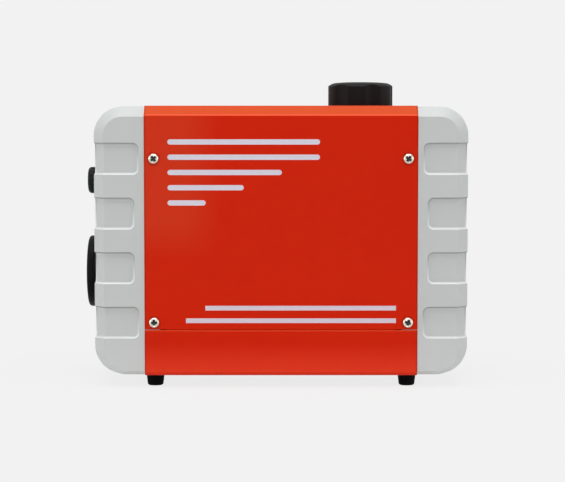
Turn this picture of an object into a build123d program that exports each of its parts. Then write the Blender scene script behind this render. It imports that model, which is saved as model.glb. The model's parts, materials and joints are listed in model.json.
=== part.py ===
from build123d import *
import math
import os

# Compact fuel-burning air heater. Millimetres, +Z up, standing on its feet.
# The long side faces -Y. Hot air leaves at the -X end, fresh air enters at the +X end.

# Outside of the body
body_length = 385.0
body_depth = 150.0
body_height = 277.7
foot_height = 12.0
cap_length = 52.0
cap_step = 0.8
top_chamfer = 10.4
end_corner = 30.0
bottom_bevel = 4.0
tray_bend = 4.0
seam_height = 48.0

# Walls and clearances
sheet = 1.2
cap_wall = 4.4
fit_gap = 0.3
seam_gap = 0.8
turning_gap = 0.3
shaft_gap = 0.05
screw_fit = 0.1
press_fit = 0.02
tongue_length = 16.0
tongue_root = 5.0
tongue_wall = 2.6
lap_height = 10.0
lap_end_gap = 6.5

# Grip recesses in the end caps
recess_count = 4
recess_pitch = 56.2
recess_first = 54.9
recess_height = 28.3
recess_depth = 2.4
recess_slope = 2.2
recess_long = 42.0
recess_short = 46.5
recess_corner = 6.0
recess_on_end = 14.0

# Cover screws
screw_from_seam = 9.9
screw_shank = 4.0
screw_head = 10.8
screw_head_height = 2.6
screw_head_round = 0.6
cross_long = 0.52
cross_wide = 0.11
cross_deep = 0.55
screw_length = 8.0
boss_diameter = 9.0
boss_length = 7.0

# Feet
foot_top = 19.0
foot_bottom = 16.0
foot_edge = 1.0
foot_y = 55.0
foot_screw_head = 8.0
foot_screw_sink = 5.0
nut_across = 7.0
nut_height = 3.2

# Core: blown-air heater inside the body
outlet_height = 102.3
core_width = 112.0
core_height = 110.0
core_corner = 38.0
core_wall = 2.5
core_left = -128.0
core_right = 132.0
flange_width = 5.0
flange_height = 3.0
flange_inset = 4.0
case_screw = 2.6
case_screw_head = 4.4
case_screw_head_height = 1.6
case_screw_x = (-112.0, -38.0, 70.0, 116.0)
case_screw_y = 58.6
hood_length = 28.0
spigot_length = 14.0
spigot_wall = 2.2
skirt_length = 5.0
skirt_wall = 2.0
grille_plate = 3.0
grille_rings = 4
grille_radius = 45.0
grille_bar = 2.0

# Heat exchanger and burner
exchanger_left = -112.0
exchanger_right = 27.0
exchanger_outer = 39.0
exchanger_bore = 33.0
exchanger_dome = 8.0
fin_count = 26
fin_outer = 49.5
fin_thickness = 2.0
fin_start = -104.0
fin_end = 12.0
exchanger_flange = 46.0
exchanger_flange_thickness = 6.0
pad_left = -34.0
pad_right = 26.0
pad_width = 60.0
pad_height = 34.0
pipe_seat = 12.0
exhaust_throat = 10.0
stud_diameter = 6.0
stud_inset = 7.5
stud_seat = 12.0
stud_nut_across = 10.0
stud_nut_height = 5.0
stud_end_gap = 0.5
stud_past_nut = 2.0
gasket_thickness = 2.0
gasket_left = -40.0
gasket_right = 67.0
gasket_margin = 6.0
burner_gasket_thickness = 1.0
burner_bore = 20.0
burner_tube_outer = 22.0
burner_tube_wall = 1.2
burner_tube_length = 92.0
burner_hole = 3.6
burner_hole_first = 12.0
burner_hole_pitch = 10.0
burner_hole_rows = 4
burner_holes_around = 8
plug_diameter = 6.0
plug_length = 34.0
plug_hex = 9.0
plug_hex_height = 4.0
flange_screw_radius = 42.0
flange_screw_head = 7.0
sensor_x = -60.0
sensor_length = 12.0
sensor_width = 6.0
sensor_height = 6.0
sensor_sink = 2.0

# Blower
blower_left = 38.0
blower_outer = 38.0
blower_flange = 6.0
chamber_radius = 33.0
chamber_length = 18.0
partition = 4.0
partition_bore = 5.0
motor_radius = 30.0
motor_length = 43.0
motor_wall = 1.6
motor_end_room = 2.0
bearing_outer = 11.0
bearing_width = 5.0
shaft_diameter = 5.0
shaft_left = 40.0
shaft_right = 127.0
impeller_left = 42.0
impeller_radius = 29.0
impeller_hub = 8.0
impeller_plate = 1.8
impeller_blades = 12
impeller_blade = 1.6
impeller_height = 9.0
impeller_sweep = 28.0
fan_left = 110.0
fan_hub = 20.0
fan_hub_wall = 2.5
fan_boss_wall = 3.0
fan_blades = 7
fan_width = 16.0
fan_round = 4.0
fan_sections = ((18.5, 44.0, 20.0, 2.4), (33.0, 32.0, 21.0, 1.8), (48.5, 22.0, 22.0, 1.2))
magnet_thickness = 5.0
magnet_gap = 9.0
magnet_end_gap = 2.0
armature_radius = 20.0
armature_slots = 8
armature_slot_reach = 3.0
armature_slot_long = 7.0
armature_slot_wide = 2.4
armature_end_gap = 3.0
intake_boss_wall = 2.5
intake_seat = 5.0
intake_boss_gap = 0.5
post_diameter = 5.0
post_inset = 5.0
board_left = 50.0
board_right = 100.0
board_width = 48.0
board_below_lid = 12.0
board_thickness = 1.6
board_block_height = 5.0
board_blocks = ((9.0, 8.0, 10.0, 18.0), (26.0, -6.0, 12.0, 12.0))
board_cans = ((41.0, -8.0), (41.0, 6.0))
board_can_radius = 4.0

# Exhaust and combustion-air pipes
exhaust_x = -4.0
intake_x = 47.0
pipe_height = 22.0
pipe_bend = 21.0
exhaust_spigot = 24.0
intake_spigot = 25.0
pipe_step = 1.0
pipe_wall = 1.2
pipe_spigot_length = 20.0
pipe_hole_gap = 1.0

# Core bracket
bracket_sheet = 1.5
bracket_left = -62.0
bracket_right = 84.0
bracket_half = 50.0
bracket_flange = 12.0
bracket_screw_x = (-50.0, 72.0)
bracket_screw_y = 56.0

# Tank and its shelf
shelf_above_core = 5.0
shelf_end_gap = 28.5
shelf_side_gap = 5.5
shelf_flange = 12.0
shelf_corner = 22.0
shelf_nick = 10.0
shelf_lip_gap = 4.0
ledge_width = 7.0
ledge_thickness = 3.0
tank_outlet_gap = 24.5
tank_inlet_gap = 50.5
tank_width = 126.0
tank_headroom = 10.8
tank_corner = 5.0
tank_foot_corner = 5.0
tank_end_round = 4.0
tank_wall = 2.5
neck_x = 84.0
neck_outer = 49.4
neck_wall = 3.0
collar_body = 2.0
collar_lip = 3.0
collar_thickness = 1.5
strap_thickness = 1.0
strap_width = 16.0
strap_positions = (-90.0, 20.0)

# Fuel cap
fuel_cap_diameter = 68.8
fuel_cap_height = 23.0
fuel_cap_lobes = 6
fuel_cap_valley = 2.6
fuel_cap_scallop = 22.0
fuel_cap_lobe_round = 7.0
fuel_cap_wall = 4.0
fuel_cap_edge = 4.8
fuel_cap_shoulder = 7.0
fuel_cap_crown = 1.0
fuel_cap_flat = 8.0
fuel_cap_start = 50.0
fuel_cap_over = 2.0
seal_thickness = 2.0
seal_width = 4.0

# Fuel train, one above the other beside the outlet hood
train_from_end = 36.5
train_from_front = 23.0
hose_outer = 9.0
hose_overlap = 4.0
nipple = 4.4
nipple_bore = 1.2
nipple_length = 9.0
fitting_flange = 8.0
fitting_thread = 5.0
fitting_height = 4.0
fitting_past_wall = 3.0
filter_diameter = 20.0
filter_length = 34.0
filter_bottom = 112.0
filter_edge = 3.0
pump_diameter = 26.0
pump_length = 45.0
pump_bottom = 45.0
pump_neck = 4.0
pump_neck_radius = 6.0
pump_base = 2.0
pump_base_radius = 8.0
pump_top_nipple = 6.0
pump_nipple = 6.0
plunger_diameter = 9.0
plunger_bore = 1.5
plunger_length = 20.0
plunger_seat = 6.0
spring_length = 9.0
spring_wire = 0.9
spring_turns = 5
clamp_height = 18.0
clamp_wall = 2.0
clamp_width = 10.0
clamp_foot = 20.0
line_diameter = 4.4
line_height = 26.0
line_from_front = 13.0
line_bend = 8.0
line_offset = 42.0
burner_line_height = 84.0
burner_line_seat = 7.0
line_hole = 9.0

# Internal leads
lead_diameter = 4.4
lead_from_back = 11.5
lead_below_board = 7.0
lead_bend = 6.0
lead_hole = 7.0
lead_end_inset = 2.0
power_drop_gap = 32.5
panel_drop_gap = 5.5
panel_lead_bend = 4.0
power_lead_x = 84.0
panel_lead_x = 64.0

# Hot-air outlet on the left end
outlet_proud = 13.0
outlet_diameter = 76.0
bezel_tube_outer = 67.0
bezel_tube_wall = 2.2
bezel_tube_length = 29.0
bezel_proud = 4.0
bezel_edge = 0.6
snap_proud = 0.6
snap_thick = 2.0
snap_wide = 9.0
snap_long = 2.5
ring_proud = 11.2
ring_wall = 3.0
ring_round = 3.0
ring_inset = 0.4
groove_inset = 6.0
groove_width = 2.6
groove_deep = 1.0
bead_height = 0.8
disc_gap = 0.4
disc_axis_proud = 4.0
disc_back = 6.0
disc_rim = 2.6
vane_count = 5
vane_pitch = 8.6
vane_thickness = 1.7
pivot_diameter = 4.0
pivot_length = 2.0

# Control panel on the left end
knob_height = 200.0
panel_width = 92.0
panel_tall = 56.0
panel_corner = 6.0
panel_sink = 0.8
panel_plate = 1.8
panel_border = 4.0
panel_skirt = 1.5
knob_y = -28.0
knob_diameter = 27.5
knob_proud = 9.0
knob_gap = 0.6
knob_top = 3.0
knob_round = 3.4
knob_flutes = 18
knob_flute = 1.3
pointer_width = 1.6
pointer_depth = 0.5
pointer_offset = 1.0
knob_shaft_diameter = 6.0
window_y = 17.0
window_z = 8.0
window_width = 44.0
window_tall = 26.0
window_thickness = 1.0
window_lip = 2.0
display_inset = 1.0
button_z = -14.0
button_y = (6.0, 28.0)
button_diameter = 10.0
button_proud = 1.4
button_travel = 0.8
button_edge = 0.6
button_collar = 1.5
button_collar_height = 1.0
button_stem = 4.0
board_behind = 11.0
encoder_height = 6.0
encoder_side = 12.0
encoder_floor = 1.0
switch_height = 4.0
switch_side = 6.0
board_edge_gap = 1.0

# Inlet end
intake_grille = 46.0
intake_slot = 5.0
intake_slot_pitch = 9.0
intake_slot_rows = 9
intake_rib = 5.0
intake_rib_pitch = 34.0
socket_height = 219.6
socket_flange_tall = 32.0
socket_flange_wide = 17.0
socket_flange_corner = 4.0
socket_flange = 2.0
socket_screw = 3.0
socket_screw_pitch = 23.0
socket_screw_head = 2.4
socket_screw_head_width = 5.4
socket_cavity_tall = 13.0
socket_cavity_wide = 9.0
socket_cavity_deep = 10.0
socket_body_tall = 17.0
socket_body_wide = 13.0
socket_body_deep = 18.0
socket_pin = 2.4
socket_pin_pitch = 7.6
socket_pin_sink = 2.0
end_screw_height = 167.4
end_screw_y = 22.0
end_screw_head = 7.5

# The origin is the middle of the whole part's outline on the floor
body_x = (outlet_proud - socket_flange - socket_screw_head) / 2
body_y = (screw_head_height - pipe_spigot_length) / 2

half_length = body_length / 2
half_depth = body_depth / 2
cap_face = half_depth - cap_step
base = foot_height
top = foot_height + body_height
cap_joint = half_length - cap_length
cover_half = cap_joint - fit_gap
screw_x = cap_joint - screw_from_seam
lap_length = 2 * (cap_joint - tongue_length - lap_end_gap)
shelf_end = half_length - shelf_end_gap
shelf_depth = body_depth - 2 * shelf_side_gap
tank_left = tank_outlet_gap - half_length
tank_right = half_length - tank_inlet_gap
train_x = train_from_end - half_length
train_y = train_from_front - half_depth
line_y = line_from_front - half_depth
lead_y = half_depth - lead_from_back
power_drop_x = half_length - power_drop_gap
core_axis = base + outlet_height
core_bottom = core_axis - core_height / 2
core_top = core_axis + core_height / 2
tray_floor = base + sheet
pad_face = core_bottom
bracket_top = pad_face - gasket_thickness
pipe_axis = base + pipe_height
shelf = core_top + shelf_above_core
board_base = core_top - board_below_lid
lead_level = board_base - lead_below_board
tank_bottom = shelf + sheet
burner_line_z = base + burner_line_height
line_ring_y = math.sqrt(exchanger_flange**2 - (core_axis - burner_line_z) ** 2)
panel_drop_x = tank_left - panel_drop_gap
lead_end_y = board_width / 2 - lead_end_inset
tank_top = top - tank_headroom
tank_height = tank_top - tank_bottom
panel_axis = base + knob_height
socket_axis = base + socket_height
stud_places = [(x, y) for x in (pad_left + stud_inset, pad_right - stud_inset)
               for y in (stud_inset - pad_width / 2, pad_width / 2 - stud_inset)]
foot_places = [(sx * screw_x, sy * foot_y) for sx in (-1, 1) for sy in (-1, 1)]
bracket_screw_places = [(x, sy * bracket_screw_y) for x in bracket_screw_x for sy in (-1, 1)]
case_screw_places = [(x, sy * case_screw_y) for x in case_screw_x for sy in (-1, 1)]
board_posts = [(x, sy * (board_width / 2 - post_inset))
               for x in (board_left + post_inset, board_right - post_inset) for sy in (-1, 1)]
burner_left = exchanger_right + burner_gasket_thickness
burner_middle = (burner_left + blower_left) / 2
motor_seat = blower_left + chamber_length + partition
blower_right = motor_seat + motor_length + motor_end_room
motor_left = motor_seat + fit_gap
motor_right = motor_left + motor_length
intake_boss_bottom = core_bottom + core_wall + intake_boss_gap
neck_collar_outer = neck_outer / 2 + fit_gap + collar_body
skirt_bottom = top + fit_gap
cap_bottom = skirt_bottom + collar_thickness
cap_top = cap_bottom + fuel_cap_height
neck_top = cap_bottom + fuel_cap_height - fuel_cap_wall - seal_thickness - turning_gap
pump_top = pump_bottom + pump_length
filter_top = filter_bottom + filter_length
fitting_end = tank_bottom - fitting_height - nipple_length
plunger_bottom = pump_bottom + plunger_seat
plunger_top = plunger_bottom + plunger_length
bezel_bore = bezel_tube_outer / 2 - bezel_tube_wall
spigot_radius = bezel_bore - fit_gap
ring_outer = bezel_bore - turning_gap
disc_bore = ring_outer - ring_wall
disc_radius = disc_bore - disc_gap
disc_centre = -half_length - disc_axis_proud
disc_front = ring_proud - disc_axis_proud
groove_left = -half_length + groove_inset
panel_face = -half_length + panel_sink
opening_width = panel_width - 2 * panel_border
opening_tall = panel_tall - 2 * panel_border


def level(z):
    """Horizontal plane at a height above the floor, centred under the body."""
    return Plane(origin=(body_x, body_y, z))


def across(x):
    """Upright plane square to X: its x runs towards +Y and its y upwards."""
    return Plane(origin=(body_x + x, body_y, 0), x_dir=(0, 1, 0), z_dir=(1, 0, 0))


def facing(y):
    """Upright plane square to Y, seen from the front: its x runs along X and its y upwards."""
    return Plane(origin=(body_x, body_y + y, 0), x_dir=(1, 0, 0), z_dir=(0, -1, 0))


def wall_plane(x, y, normal):
    """Upright plane facing outwards along a level direction: its y runs upwards."""
    nx, ny = normal
    return Plane(origin=(body_x + x, body_y + y, 0), x_dir=(-ny, nx, 0), z_dir=(nx, ny, 0))


def axial(z=core_axis, y=0.0):
    """Plane through a lengthwise axis, for revolved pieces: its x runs along X, its y is the radius."""
    return Plane(origin=(body_x, body_y + y, z), x_dir=(1, 0, 0), z_dir=(0, -1, 0))


def upright(x, y):
    """Plane through an upright axis, for revolved pieces: its x is the radius, its y the height."""
    return Plane(origin=(body_x + x, body_y + y, 0), x_dir=(1, 0, 0), z_dir=(0, -1, 0))


def lengthwise_axis(z=core_axis, y=0.0):
    return Axis((body_x, body_y + y, z), (1, 0, 0))


def upright_axis(x, y):
    return Axis((body_x + x, body_y + y, 0), (0, 0, 1))


def body_section(x, inset):
    """Cross-section of the sheet body at x, drawn inset from its outside."""
    half = half_depth - inset
    low = base + inset
    high = top - inset
    slope = top_chamfer - inset * (2 - math.sqrt(2))
    with BuildSketch(across(x)) as section:
        with BuildLine():
            Polyline(
                (-half, low),
                (half, low),
                (half, high - slope),
                (half - slope, high),
                (slope - half, high),
                (-half, high - slope),
                close=True,
            )
        make_face()
        fillet(section.vertices().group_by(Axis.Y)[0], max(tray_bend - inset, 0.4))
    return section.sketch


def cap_form(side, inset, reach):
    """Solid of an end cap's outer form, inset all round, reaching past the joint by reach."""
    slope = top_chamfer - inset * (2 - math.sqrt(2))
    bevel = bottom_bevel - inset * (2 - math.sqrt(2))
    face = cap_face - inset
    stations = [(face, 0.0), (face - bevel, bevel), (face - slope, slope)]
    stations += [(-y, drop) for y, drop in reversed(stations)]
    with BuildPart() as form:
        for y, drop in stations:
            edge = slope - drop
            low_edge = max(bevel - drop, 0.0)
            inner = cap_joint - reach
            outer = half_length - inset - edge
            low = base + cap_step + inset + low_edge
            high = top - cap_step - inset - edge
            corner = end_corner - inset
            with BuildSketch(facing(-y)) as outline:
                with Locations((side * (inner + outer) / 2, (low + high) / 2)):
                    Rectangle(outer - inner, high - low)
                ends = outline.vertices().group_by(Axis.X)[-1 if side > 0 else 0].sort_by(Axis.Y)
                fillet(ends[-1], corner - edge)
                ends = outline.vertices().group_by(Axis.X)[-1 if side > 0 else 0].sort_by(Axis.Y)
                fillet(ends[0], corner - (edge + low_edge) / 2)
        loft(ruled=True)
    return form.part


def recess_cutter(side, row):
    """What one grip recess takes out of an end cap at its front and back corners, with sloping walls."""
    z = base + recess_first + row * recess_pitch
    inner = half_length - (recess_long if row in (1, 2) else recess_short)
    slope_angle = math.degrees(math.atan2(recess_slope, recess_depth))
    tall = recess_height + 2 * recess_slope
    over = 6.0
    end_reach = top_chamfer + recess_on_end
    bevel = math.sqrt(2) * top_chamfer
    with BuildPart() as cutter:
        for front in (-1, 1):
            with BuildSketch(wall_plane(0, front * cap_face, (0, front))) as face:
                with Locations((-front * side * (inner + half_length + over) / 2, z)):
                    Rectangle(half_length + over - inner, tall)
                ends = face.vertices().group_by(Axis.X)[0 if front * side < 0 else -1]
                fillet(ends, recess_corner)
            extrude(amount=-recess_depth, taper=slope_angle)
            with BuildSketch(wall_plane(side * half_length, 0, (side, 0))) as face:
                with Locations((side * front * (cap_face + (over - end_reach) / 2), z)):
                    Rectangle(end_reach + over, tall)
                ends = face.vertices().group_by(Axis.X)[0 if front * side > 0 else -1]
                fillet(ends, recess_corner)
            extrude(amount=-recess_depth, taper=slope_angle)
            middle_x = side * (half_length - top_chamfer / 2)
            middle_y = front * (cap_face - top_chamfer / 2)
            with BuildSketch(wall_plane(middle_x, middle_y, (side, front))):
                with Locations((0, z)):
                    Rectangle(bevel + 2 * over, tall)
            extrude(amount=-recess_depth, taper=slope_angle)
    return cutter.part


def screw(plane, x, y, head, head_height, shank, length, cross=True):
    """Pan-head screw on a plane: the head stands on it and the shank goes in."""
    with BuildPart() as one:
        with BuildSketch(plane):
            with Locations((x, y)):
                Circle(head / 2)
        extrude(amount=head_height)
        fillet(one.edges().sort_by(Axis(plane.origin, plane.z_dir))[-1], head_height * screw_head_round)
        if cross:
            with BuildSketch(plane.offset(head_height)):
                with Locations((x, y)):
                    Rectangle(head * cross_long, head * cross_wide)
                    Rectangle(head * cross_wide, head * cross_long)
            extrude(amount=-head_height * cross_deep, mode=Mode.SUBTRACT)
        with BuildSketch(plane):
            with Locations((x, y)):
                Circle(shank / 2)
        extrude(amount=-length)
    return one.part


def ring(plane, x, y, outer, bore, length):
    """Plain round sleeve on a plane, along its normal."""
    with BuildPart() as sleeve:
        with BuildSketch(plane):
            with Locations((x, y)):
                Circle(outer)
                Circle(bore, mode=Mode.SUBTRACT)
        extrude(amount=length)
    return sleeve.part


def core_section(x, inset):
    """Cross-section of the heater core's case at x, drawn inset from its outside."""
    with BuildSketch(across(x)) as section:
        with Locations((0, core_axis)):
            RectangleRounded(core_width - 2 * inset, core_height - 2 * inset, core_corner - inset)
    return section.sketch


def core_ring(x, inset, deeper):
    """Band between two insets of the case's section at x."""
    with BuildSketch(across(x)) as band:
        with Locations((0, core_axis)):
            RectangleRounded(core_width - 2 * inset, core_height - 2 * inset, core_corner - inset)
            RectangleRounded(
                core_width - 2 * deeper, core_height - 2 * deeper, core_corner - deeper, mode=Mode.SUBTRACT
            )
    return band.sketch


os.makedirs("parts", exist_ok=True)

# Upper sheet-metal cover
with BuildPart() as top_cover:
    extrude(body_section(-cover_half, 0), amount=2 * cover_half)
    extrude(body_section(-cover_half - 1, sheet), amount=2 * cover_half + 2, mode=Mode.SUBTRACT)
    with BuildSketch(level(base - 1)):
        Rectangle(body_length, body_depth + 2)
    extrude(amount=seam_height + 1, mode=Mode.SUBTRACT)
    with BuildSketch(facing(-half_depth - 1)):
        for row in (0, recess_count - 1):
            with Locations(*[(side * screw_x, base + recess_first + row * recess_pitch) for side in (-1, 1)]):
                Circle((screw_shank + screw_fit) / 2)
    extrude(amount=-body_depth - 2, mode=Mode.SUBTRACT)
    with BuildSketch(level(top + 1)):
        with Locations((neck_x, 0)):
            Circle(neck_collar_outer + fit_gap)
    extrude(amount=-5, mode=Mode.SUBTRACT)
top_cover.part.label = "top_cover"
export_step(top_cover.part, "parts/top_cover.step")

# Lower sheet-metal tray with a lap strip behind the cover
with BuildPart() as base_tray:
    extrude(body_section(-cover_half, 0), amount=2 * cover_half)
    extrude(body_section(-cover_half - 1, sheet), amount=2 * cover_half + 2, mode=Mode.SUBTRACT)
    with BuildSketch(level(base + seam_height - seam_gap)):
        Rectangle(body_length, body_depth + 2)
    extrude(amount=body_height, mode=Mode.SUBTRACT)
    with BuildSketch(level(base + seam_height - lap_height)):
        with Locations(*[(0, side * (half_depth - 1.5 * sheet)) for side in (-1, 1)]):
            Rectangle(lap_length, sheet)
    extrude(amount=2 * lap_height)
    with BuildSketch(level(base - 1)):
        with Locations(*foot_places):
            Circle((screw_shank + screw_fit) / 2)
        with Locations(*bracket_screw_places):
            Circle((screw_shank + screw_fit) / 2)
    extrude(amount=sheet + 2, mode=Mode.SUBTRACT)
    with BuildSketch(facing(half_depth + 1)):
        with Locations((exhaust_x, pipe_axis)):
            Circle(exhaust_spigot / 2 + pipe_step + pipe_hole_gap)
        with Locations((intake_x, pipe_axis)):
            Circle(intake_spigot / 2 + pipe_step + pipe_hole_gap)
    extrude(amount=sheet + 3, both=True, mode=Mode.SUBTRACT)
base_tray.part.label = "base_tray"
export_step(base_tray.part, "parts/base_tray.step")


def end_cap_shell(side):
    """One moulded end cap before its own openings: walls, tongue, screw bosses, ledges and grip recesses."""
    first = min(side * (cap_joint - tongue_length), side * (cap_joint + tongue_root))
    run = tongue_length + tongue_root
    tongue_face = sheet + fit_gap
    tongue_back = tongue_face + tongue_wall
    with BuildPart() as shell:
        add(cap_form(side, 0.0, 0.0))
        add(cap_form(side, cap_wall, 1.0), mode=Mode.SUBTRACT)
        extrude(body_section(first, tongue_face), amount=run)
        extrude(body_section(first - 1, tongue_back), amount=run + 2, mode=Mode.SUBTRACT)
        for front in (-1, 1):
            for row in (0, recess_count - 1):
                z = base + recess_first + row * recess_pitch
                with BuildSketch(wall_plane(0, front * (half_depth - tongue_face), (0, front))):
                    with Locations((-front * side * screw_x, z)):
                        Circle(boss_diameter / 2)
                extrude(amount=-boss_length)
                with BuildSketch(wall_plane(0, front * (half_depth - tongue_face), (0, front))):
                    with Locations((-front * side * screw_x, z)):
                        Circle((screw_shank + screw_fit) / 2)
                extrude(amount=-boss_length - 1, mode=Mode.SUBTRACT)
            with BuildSketch(level(shelf - ledge_thickness)):
                ledge_x = (cap_joint - tongue_length + shelf_end) / 2
                with Locations((side * ledge_x, front * (half_depth - cap_wall - ledge_width / 2 + 0.5))):
                    Rectangle(shelf_end - cap_joint + tongue_length, ledge_width + 1)
            extrude(amount=ledge_thickness)
        with BuildSketch(level(base)):
            with Locations((side * screw_x, -foot_y), (side * screw_x, foot_y)):
                Circle((screw_shank + screw_fit) / 2)
        extrude(amount=cap_wall + 2, mode=Mode.SUBTRACT)
        for row in range(recess_count):
            add(recess_cutter(side, row), mode=Mode.SUBTRACT)
    return shell.part


# Outlet end cap, with the outlet's hole and the seat of the control panel
with BuildPart() as outlet_end_cap:
    add(end_cap_shell(-1))
    with BuildSketch(across(-half_length - 1)):
        with Locations((0, core_axis)):
            Circle(bezel_tube_outer / 2 + fit_gap)
    extrude(amount=cap_wall + 2, mode=Mode.SUBTRACT)
    with BuildSketch(across(-half_length - 1)):
        with Locations((0, panel_axis)):
            RectangleRounded(panel_width + 2 * fit_gap, panel_tall + 2 * fit_gap, panel_corner + fit_gap)
    extrude(amount=1 + panel_sink + panel_plate, mode=Mode.SUBTRACT)
    with BuildSketch(across(-half_length - 1)):
        with Locations((0, panel_axis)):
            RectangleRounded(opening_width, opening_tall, panel_corner)
    extrude(amount=cap_wall + 2, mode=Mode.SUBTRACT)
outlet_end_cap.part.label = "outlet_end_cap"
export_step(outlet_end_cap.part, "parts/outlet_end_cap.step")

# Inlet end cap, with its grille slots, the socket's opening and two screw holes
with BuildPart() as inlet_end_cap:
    add(end_cap_shell(1))
    with BuildSketch(across(half_length + 1)):
        for row in range(intake_slot_rows):
            offset = (row - (intake_slot_rows - 1) / 2) * intake_slot_pitch
            chord = 2 * math.sqrt(intake_grille**2 - (abs(offset) + intake_slot / 2) ** 2)
            with Locations((0, core_axis + offset)):
                SlotOverall(chord, intake_slot)
        with Locations((0, core_axis)):
            with GridLocations(intake_rib_pitch, 0, 2, 1):
                Rectangle(intake_rib, 2 * intake_grille, mode=Mode.SUBTRACT)
    extrude(amount=-cap_wall - 2, mode=Mode.SUBTRACT)
    with BuildSketch(across(half_length + 1)):
        with Locations((0, socket_axis)):
            Rectangle(socket_body_wide + 2 * fit_gap, socket_body_tall + 2 * fit_gap)
            with GridLocations(0, socket_screw_pitch, 1, 2):
                Circle((socket_screw + screw_fit) / 2)
        with Locations(*[(y, base + end_screw_height) for y in (-end_screw_y, end_screw_y)]):
            Circle((screw_shank + screw_fit) / 2)
    extrude(amount=-cap_wall - 2, mode=Mode.SUBTRACT)
inlet_end_cap.part.label = "inlet_end_cap"
export_step(inlet_end_cap.part, "parts/inlet_end_cap.step")

# Eight cross-recess screws that hold the cover to the end caps
with BuildPart() as cover_screws:
    for front in (-1, 1):
        for side in (-1, 1):
            for row in (0, recess_count - 1):
                z = base + recess_first + row * recess_pitch
                face = wall_plane(0, front * half_depth, (0, front))
                add(screw(face, side * screw_x, z, screw_head, screw_head_height, screw_shank, screw_length))
cover_screws.part.label = "cover_screws"
export_step(cover_screws.part, "parts/cover_screws.step")

# Rubber feet with a sunk screw each
with BuildPart() as rubber_feet:
    foot_taper = math.degrees(math.atan2((foot_top - foot_bottom) / 2, foot_height))
    for sx in (-1, 1):
        for sy in (-1, 1):
            with BuildSketch(level(base)):
                with Locations((sx * screw_x, sy * foot_y)):
                    Circle(foot_top / 2)
            extrude(amount=-foot_height, taper=foot_taper)
    chamfer(rubber_feet.edges().group_by(Axis.Z)[0], foot_edge)
    with BuildSketch(level(0)):
        with Locations(*foot_places):
            Circle(foot_screw_head / 2 + fit_gap)
    extrude(amount=foot_screw_sink, mode=Mode.SUBTRACT)
    with BuildSketch(level(0)):
        with Locations(*foot_places):
            Circle((screw_shank + screw_fit) / 2)
    extrude(amount=foot_height, mode=Mode.SUBTRACT)
rubber_feet.part.label = "rubber_feet"
export_step(rubber_feet.part, "parts/rubber_feet.step")

# Foot screws with their nuts above the end caps' tongues
with BuildPart() as foot_fasteners:
    nut_seat = base + sheet + fit_gap + tongue_wall
    for sx in (-1, 1):
        for sy in (-1, 1):
            under = Plane(origin=(body_x, body_y, foot_screw_sink), x_dir=(1, 0, 0), z_dir=(0, 0, -1))
            add(
                screw(
                    under, sx * screw_x, -sy * foot_y, foot_screw_head, screw_head_height, screw_shank,
                    nut_seat + nut_height + 1 - foot_screw_sink,
                )
            )
            with BuildSketch(level(nut_seat)):
                with Locations((sx * screw_x, sy * foot_y)):
                    RegularPolygon(nut_across / 2, 6, major_radius=False)
                    Circle((screw_shank + screw_fit) / 2, mode=Mode.SUBTRACT)
            extrude(amount=nut_height)
foot_fasteners.part.label = "foot_fasteners"
export_step(foot_fasteners.part, "parts/foot_fasteners.step")

# Core bracket: a sheet table that carries the heater core above the tray
with BuildPart() as core_bracket:
    tall = bracket_top - tray_floor
    with BuildSketch(across(bracket_left)) as profile:
        with Locations((0, tray_floor + tall / 2)):
            Rectangle(2 * bracket_half, tall)
        fillet(profile.vertices().group_by(Axis.Y)[-1], 2 * bracket_sheet)
        with BuildSketch(across(bracket_left), mode=Mode.SUBTRACT) as inside:
            with Locations((0, tray_floor + (tall - bracket_sheet) / 2)):
                Rectangle(2 * (bracket_half - bracket_sheet), tall - bracket_sheet)
            fillet(inside.vertices().group_by(Axis.Y)[-1], bracket_sheet)
        flange_y = bracket_half + bracket_flange / 2 - bracket_sheet
        with Locations(*[(side * flange_y, tray_floor + bracket_sheet / 2) for side in (-1, 1)]):
            Rectangle(bracket_flange, bracket_sheet)
    extrude(amount=bracket_right - bracket_left)
    with BuildSketch(level(bracket_top + 1)):
        with Locations((exhaust_x, 0)):
            Circle(exhaust_spigot / 2 + pipe_step + 2 * pipe_hole_gap)
        with Locations((intake_x, 0)):
            Circle(intake_spigot / 2 + pipe_step + 2 * pipe_hole_gap)
        with Locations(*stud_places):
            Circle((stud_diameter + screw_fit) / 2)
    extrude(amount=-bracket_sheet - 2, mode=Mode.SUBTRACT)
    with BuildSketch(facing(bracket_half - 2 * bracket_sheet)):
        with Locations((exhaust_x, pipe_axis)):
            Circle(exhaust_spigot / 2 + pipe_step + pipe_hole_gap)
        with Locations((intake_x, pipe_axis)):
            Circle(intake_spigot / 2 + pipe_step + pipe_hole_gap)
    extrude(amount=-3 * bracket_sheet, mode=Mode.SUBTRACT)
    with BuildSketch(level(tray_floor - 1)):
        with Locations(*bracket_screw_places):
            Circle((screw_shank + screw_fit) / 2)
    extrude(amount=bracket_sheet + 2, mode=Mode.SUBTRACT)
core_bracket.part.label = "core_bracket"
export_step(core_bracket.part, "parts/core_bracket.step")

with BuildPart() as bracket_screws:
    for x, y in bracket_screw_places:
        add(screw(level(tray_floor + bracket_sheet), x, y, foot_screw_head, screw_head_height, screw_shank,
                  bracket_sheet + sheet))
bracket_screws.part.label = "bracket_screws"
export_step(bracket_screws.part, "parts/bracket_screws.step")

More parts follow.
